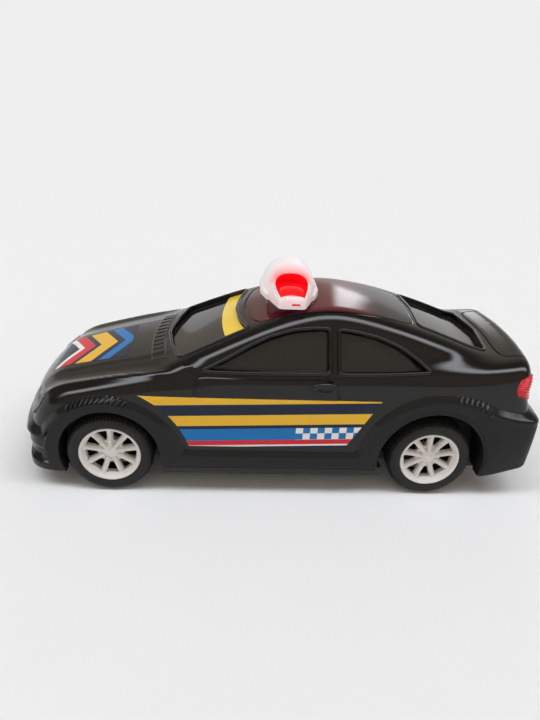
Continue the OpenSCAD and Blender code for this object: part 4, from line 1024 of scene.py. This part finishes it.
# Where the lens's colour is painted on the housing as light through the lens: all over inside each nest,
# fading out round it, and faintly at the low ends
in_nest = (inside < 1.04) & (z > BAR_SEAT + 2.15) & (np.abs(y) > 1.5) & (np.abs(y) < 23.4)
painted_lens_glow = 0.7 * bump(np.minimum(np.abs(y) - 12, 0), 4.6) * ease((z - BAR_SEAT - 3) / 5)
painted_lens_glow = painted_lens_glow * ease((11 - np.abs(x - BAR_X)) / 5)
mark = np.where(in_nest, 1.0, np.where(np.abs(y) > 13.5, 0.12, painted_lens_glow))
mesh.attributes.new("mark", "FLOAT", "POINT").data.foreach_set("value", mark)
shade(mesh, 35)

# Milky polystyrene: soft white under a clear gloss, with the lens's colour painted on round each nest as
# light that comes through the lens; a faint painted glow stands for the daylight that comes through its thin
# walls
milky, tree, shader, white = moulded(
    "polystyrene_milky", "#f4e9ea", "#f9f0f0", 8.33, 2.0, (0.4, 0.46),
    IOR=1.5, Specular_IOR_Level=0.3, Subsurface_Weight=0.3, Subsurface_Scale=0.004)
place = node(tree, "ShaderNodeTexCoord").outputs["Object"]
across = node(tree, "ShaderNodeSeparateXYZ", {"Vector": place}).outputs["Y"]
on_left = node(tree, "ShaderNodeMath", {0: across, 1: 0.0}, operation="GREATER_THAN")
lens_tint = node(tree, "ShaderNodeMix", {
    "Factor": on_left.outputs[0], "A": linear("#2a5fe0"), "B": linear("#f5303a"),
}, data_type="RGBA")
glow_mark = node(tree, "ShaderNodeAttribute", attribute_name="mark").outputs["Fac"]
# Painted lens light: the housing's white drawn towards the lens's red or blue by the mark
painted_lens_light = node(tree, "ShaderNodeMix", {
    "Factor": glow_mark, "A": white, "B": lens_tint.outputs["Result"],
}, data_type="RGBA").outputs["Result"]
# A faint painted glow, strongest where the lens's colour is painted
through = node(tree, "ShaderNodeMath", {0: glow_mark, 1: 0.28, 2: 0.03}, operation="MULTIPLY_ADD")
join(tree, shader, {"Base Color": painted_lens_light, "Emission Color": painted_lens_light, "Emission Strength": through.outputs[0]})
dress(housing, milky)
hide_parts("light_bar_housing")

lens_line = curve([[2, 8.2], [8, 7.6], [10.5, 6.2], [13.5, 6.9], [17, 6.4], [20, 5.0], [22.9, 2.9]], 70)
lens_half = bar_half(lens_line[:, 0]) - 1.12 - 0.7 * (1 - bar_taper(lens_line[:, 0]))
lens_power = 2.1 + 0.5 * bar_taper(lens_line[:, 0])
dome = bar_rings(lens_line[:, 0], lens_half, lens_line[:, 1] - 2.3, lens_power, 2.3, 0 * lens_half)
slot_outline = rounded_outline(SQUARE * [1.7, 0.45], 0.35, 64) + [BAR_X - 1.4, BAR_SEAT + 1.9]

# Clear tinted polystyrene: a full colour under a sharp gloss, with a faint painted glow that stands for
# daylight from behind
for side, name, colour_a, colour_b in (
    (1, "left", "#f2101f", "#d9000f"), (-1, "right", "#1d56d8", "#0f3fb4"),
):
    tint_lens, tree, shader, tone = moulded(
        f"polystyrene_clear_bar_{name}", colour_a, colour_b, 11.1, 2.0, (0.06, 0.14), IOR=1.55,
        Coat_Weight=1.0, Coat_Roughness=0.03, Transmission_Weight=0.15, Emission_Strength=0.25)
    join(tree, shader, {"Emission Color": tone})
    points, faces = gathered([lofted(dome), prism(slot_outline, 1, BAR_END_Y, BAR_HALF_LENGTH + 0.04)])
    made = piece(f"bar_lens_{name}", points if side > 0 else mirrored(points), faces, 40)
    dress(made, tint_lens)
    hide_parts(f"light_bar_lens_{name}")

# Wheels
# Nine-spoke rims of cream ABS, each moulded in one piece and pressed on a steel axle, inside soft black
# tyres with a row of lugs round each shoulder. All four are alike.
RIM_FACE = 42.0
SPOKES = 9
LUGS = 72
TYRE_WIDTH = 13
GROOVE_PITCH = 2.2
rim_line = np.array([
    [0, -2.0], [0.8, -2.02], [1.2, -2.15], [1.4, -2.45], [1.6, -2.55], [2.3, -2.6], [2.55, -2.75],
    [2.7, -3.1], [3.1, -3.4], [3.6, -3.6], [4.2, -3.7], [4.8, -3.75], [5.6, -3.75], [6.4, -3.75],
    [7.2, -3.75], [8, -3.7], [8.8, -3.65], [9.6, -3.55], [10.2, -3.4], [10.7, -3.0], [11.1, -2.3],
    [11.4, -1.5], [11.7, -0.8], [12, -0.45], [12.35, -0.4], [12.65, -0.6], [12.85, -0.95], [12.85, -2.2],
    [12.5, -3.0], [12.4, -6.8], [11.9, -7.0], [11.5, -6.6], [11, -5.6], [9.5, -5.2], [4.5, -5.2],
    [4, -9.0], [1.6, -9.0], [0, -9.0],
])
turn = np.linspace(0, 2 * np.pi, SPOKES * 48, endpoint=False)
radius, depth = rim_line[:, :1], rim_line[:, 1:]
half_pitch = np.pi / SPOKES
off_spoke = radius * np.sin(np.abs((turn - np.pi / 2 + half_pitch) % (2 * half_pitch) - half_pitch))
bar = 1.12 - 0.02 * (radius - 4)
ridge = np.sqrt(np.maximum(1 - (off_spoke / bar) ** 2, 0)) * (depth > -4.2)
ridge = ridge * ease((radius - 2.5) / 0.6) * ease((11.6 - radius) / 1.6)
rim_grid = stacked(radius * np.cos(turn), RIM_FACE + depth + 1.15 * ridge, radius * np.sin(turn))
rim = piece("rim", rim_grid, quads(*rim_grid.shape[:2], join_cols=True).tolist(), 40)
shape = rounded_outline([[5.4, 0.76], [10.5, 2.5], [10.5, -2.5], [5.4, -0.76]], 0.45, 96)
for k in range(SPOKES):
    lean = np.pi / 2 + (k + 0.5) * 2 * np.pi / SPOKES
    window = shape @ [[np.cos(lean), np.sin(lean)], [-np.sin(lean), np.cos(lean)]]
    combine(rim, piece("rim_window", *prism(window, 1, RIM_FACE - 8, RIM_FACE + 2)), "DIFFERENCE")
shade(rim.data, 42)

tyre_line = curve([
    [12.5, -2.9], [12.7, -0.95], [13.3, -0.25], [14.4, 0.0], [15.2, -0.02], [15.6, 0.0], [16.2, -0.3],
    [16.9, -0.8], [17.5, -1.5], [17.85, -2.3], [18, -3.2], [18, -5], [18, -8], [18, -9.8], [17.85, -10.7],
    [17.5, -11.5], [16.9, -12.2], [15.8, -12.8], [14.4, -13], [13.3, -12.8], [12.5, -12.2], [12.5, -8],
    [12.5, -3.4],
], 120)
turn = np.linspace(0, 2 * np.pi, LUGS * 6, endpoint=False)
radius, depth = tyre_line[:, :1], tyre_line[:, 1:]
on_shoulder = ease((radius - 16.6) / 0.8) * (1 - ease((np.minimum(-depth, TYRE_WIDTH + depth) - 3.2) / 0.8))
lug = ease(0.5 + 1.3 * np.cos(LUGS * turn))
off_groove = np.abs(((-depth - TYRE_WIDTH / 2) % GROOVE_PITCH) - GROOVE_PITCH / 2)
band = ease((off_groove - 0.75) / 0.2) * ease((radius - 17.9) / 0.08)
wall_line = 0.12 * bump(radius - 15.0, 0.22) * (depth > -3)
radius_cut = radius - 0.5 * on_shoulder * (1 - lug) - 0.3 * band
tyre_grid = stacked(radius_cut * np.cos(turn), RIM_FACE + depth + wall_line - 0.12, radius_cut * np.sin(turn))
tyre = piece("tyre", tyre_grid, quads(*tyre_grid.shape[:2], join_rows=True, join_cols=True).tolist(), 40)

# Satin cream ABS: a soft sheen with a slight cloud from moulding
cream, *_ = moulded(
    "abs_satin_cream", "#d9d4ce", "#e3ded9", 4.55, 3.0, (0.36, 0.5), (0.05, 0.0004), IOR=1.5)

# Soft black PVC: matt, a little dusty in patches, with a fine grain that is drawn coarser so that it shows
rubber, *_ = moulded(
    "pvc_soft_black", "#1d1d1d", "#2f2f2e", 6.67, 4.0, (0.55, 0.75), (0.25, 0.0002), (0.556, 2.0),
    IOR=1.5, Specular_IOR_Level=0.25)


def place_wheel(made, name, x, side):
    """A copy of a left wheel piece moved to its axle, turned half round about the vertical for the right."""
    mesh = made.data.copy()
    half_turn = Matrix.Rotation(0 if side > 0 else np.pi, 4, "Z")
    mesh.transform(Matrix.Translation((x * MM, 0, AXLE_Z * MM)) @ half_turn)
    copy = bpy.data.objects.new(name, mesh)
    bpy.context.scene.collection.objects.link(copy)
    return copy


for end, x in WHEELS_X.items():
    for side, word in ((1, "left"), (-1, "right")):
        for made, kind, finish, slot in (
            (rim, "rim", cream, "rim_cream"), (tyre, "tyre", rubber, "tyre_black"),
        ):
            wheel = place_wheel(made, f"{end}_{kind}_{word}_moulded", x, side)
            dress(wheel, finish, f"{end}_wheels")
            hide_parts(f"{end}_{kind}_{word}")
bpy.data.objects.remove(rim)
bpy.data.objects.remove(tyre)

# Chassis, drive and mirror
# The tray, keeper, screws, axles, drive case, gears, flywheel and interior mirror keep their CAD solids.
# They are moulded or turned parts that show only from below or through the glass.

# Eroded ABS looks dull and grainy, drawn and plated steel bright and a little uneven, turned iron darker, and
# polystyrene and acetal have a soft even sheen. Their grain is drawn coarser than it is so that it shows.
node_finishes = [
    ("abs_eroded_black", "#1a1a1a", "#262625", 0.55, 0.0, 0.667, ["chassis_base"]),
    ("abs_eroded_black_keeper", "#1a1a1a", "#262625", 0.5, 0.0, 0.667, ["front_axle_keeper"]),
    ("abs_satin_grey", "#b3b4b1", "#c2c3c0", 0.35, 0.0, 1.11, ["rear_view_mirror"]),
    ("steel_zinc_plated", "#a9abae", "#c3c5c7", 0.3, 1.0, 0.4,
     ["chassis_screws", "keeper_screws", "motor_screws"]),
    ("polystyrene_blue", "#1f3f86", "#284a94", 0.4, 0.0, 1.43, ["motor_case_left", "motor_case_right"]),
    ("steel_drawn", "#b4b6b8", "#c8cacc", 0.22, 1.0, 0.333,
     ["idler_shaft", "front_axle", "rear_axle", "flywheel_shaft"]),
    ("iron_turned", "#6d6f72", "#808285", 0.42, 1.0, 0.833, ["flywheel"]),
    ("acetal_white", "#d9d5cb", "#e4e0d7", 0.42, 0.0, 1.25, ["axle_gear"]),
    ("acetal_yellow", "#cf9f2c", "#dcae3c", 0.42, 0.0, 1.25, ["idler_gear"]),
]
for finish, dark, light, roughness, metal, size, names in node_finishes:
    made, *_ = moulded(
        finish, dark, light, size, 2.0, (roughness - 0.08, roughness + 0.08), (0.15, 0.0002), Metallic=metal)
    for name in names:
        nodes[name].data.materials.clear()
        nodes[name].data.materials.append(made)

# Floor, light and camera
# A paper sweep that lies flat round the car and rises beyond the picture, in a dim room with a pale wall and
# a tall window on the far side and a long soft lamp overhead. The camera stands where the photograph's
# perspective puts it.
sweep_line = curve([[0, 0], [1500, 0], [3000, 0], [4000, 60], [4800, 400], [5200, 1300]], 40)
turn = np.linspace(0, 2 * np.pi, 96, endpoint=False)
sweep_grid = stacked(sweep_line[:, :1] * np.cos(turn), sweep_line[:, :1] * np.sin(turn), sweep_line[:, 1:])
sweep = piece("paper_sweep", sweep_grid, quads(*sweep_grid.shape[:2], join_cols=True).tolist())
sweep.data.flip_normals()

# Matt paper: pale grey-white that takes the car's shadow, and one even tone where it rises far behind
pale, tree, shader = finish_of("paper_matt_white", Roughness=0.9, Specular_IOR_Level=0.1)
place = node(tree, "ShaderNodeTexCoord").outputs["Object"]
fibre = node(tree, "ShaderNodeTexNoise", {"Vector": place, "Scale": cells(33.3), "Detail": 3.0})
tint = node(tree, "ShaderNodeMix", {
    "Factor": fibre.outputs[0], "A": linear("#eeeeee"), "B": linear("#f0f0f0"),
}, data_type="RGBA")
join(tree, shader, {"Base Color": tint.outputs["Result"]})
distance = node(tree, "ShaderNodeVectorMath", {0: place}, operation="LENGTH")
ray = node(tree, "ShaderNodeLightPath").outputs
seen = ray["Is Camera Ray"]
for kind in ("Is Glossy Ray", "Is Transmission Ray"):
    seen = node(tree, "ShaderNodeMath", {0: seen, 1: ray[kind]}, operation="MAXIMUM").outputs[0]
share = node(tree, "ShaderNodeMath", {
    0: seen, 1: mask(tree, [(distance.outputs["Value"], 0.3, 0.9)]),
}, operation="MULTIPLY")
tone = node(tree, "ShaderNodeEmission", {"Color": linear("#efefef"), "Strength": 1.0})
paper = node(tree, "ShaderNodeMixShader", {0: share.outputs[0], 1: shader.outputs[0], 2: tone.outputs[0]})
tree.links.new(paper.outputs[0], tree.nodes["Material Output"].inputs["Surface"])
sweep.data.materials.append(pale)

world = bpy.data.worlds.new("studio")
bpy.context.scene.world = world
world.use_nodes = True
tree = world.node_tree
tree.nodes.clear()
way = node(tree, "ShaderNodeTexCoord").outputs["Generated"]
part = node(tree, "ShaderNodeSeparateXYZ", {"Vector": way}).outputs

# How far a direction lies from the planes through the lamp's length, across the car and up the window
LAMP_PLANE, CROSS_PLANE, WINDOW_PLANE = (0, 0.9903, -0.1392), (1, 0, 0), (0.96, -0.28, 0)
off_plane = []
for normal in (LAMP_PLANE, CROSS_PLANE, WINDOW_PLANE):
    slant = node(tree, "ShaderNodeVectorMath", {0: way, 1: normal}, operation="DOT_PRODUCT")
    off = node(tree, "ShaderNodeMath", {0: slant.outputs["Value"]}, operation="ABSOLUTE")
    off_plane.append(off.outputs[0])
lamp = mask(tree, ((off_plane[0], 0.19, 0.04), (off_plane[1], 0.9, 0.6), (part["Z"], 0.0, 0.1)))
window = mask(tree, (
    (off_plane[2], 0.1, 0.03), (part["Z"], 0.08, 0.16), (part["Z"], 0.62, 0.44), (part["Y"], 0.0, -0.1),
))
far_wall = mask(tree, [(part["Y"], -0.3, -0.8)])
near_wall = mask(tree, [(part["Y"], 0.2, 0.6)])

# Warm walls over a dim room, and the cooler lamp and window, each a sum of shapes by their strengths
tones = []
for tone, total, shapes in (
    ("#fff4e5", 0.18, ((far_wall, 0.37), (near_wall, 0.3))),
    ("#f5f9ff", 0.0, ((lamp, 6.7), (window, 4.0))),
):
    for shape, strength in shapes:
        total = node(tree, "ShaderNodeMath", {
            0: shape, 1: strength, 2: total,
        }, operation="MULTIPLY_ADD").outputs[0]
    tones.append(node(tree, "ShaderNodeBackground", {"Color": linear(tone), "Strength": total}).outputs[0])
light = node(tree, "ShaderNodeAddShader", {0: tones[0], 1: tones[1]})
node(tree, "ShaderNodeOutputWorld", {"Surface": light.outputs[0]})

CAMERA_AT = np.array([19.13, 238.14, 160.53])
CAMERA_ROLL = 3.16
ahead = np.array([-0.05875, -0.89575, -0.44066])
right = np.cross(ahead, [0, 0, 1])
right /= np.linalg.norm(right)
up = np.cross(right, ahead)
roll = np.radians(CAMERA_ROLL)
right, up = right * np.cos(roll) + up * np.sin(roll), up * np.cos(roll) - right * np.sin(roll)
stand = np.eye(4)
stand[:3] = np.stack([right, up, -ahead, CAMERA_AT * MM], -1)
lens_data = bpy.data.cameras.new("camera")
lens_data.lens = 28.5
lens_data.sensor_width = 36
lens_data.clip_start = 0.01
camera = bpy.data.objects.new("camera", lens_data)
camera.matrix_world = Matrix(stand.tolist())
bpy.context.scene.collection.objects.link(camera)
bpy.context.scene.camera = camera
bpy.context.scene.view_settings.view_transform = "Standard"
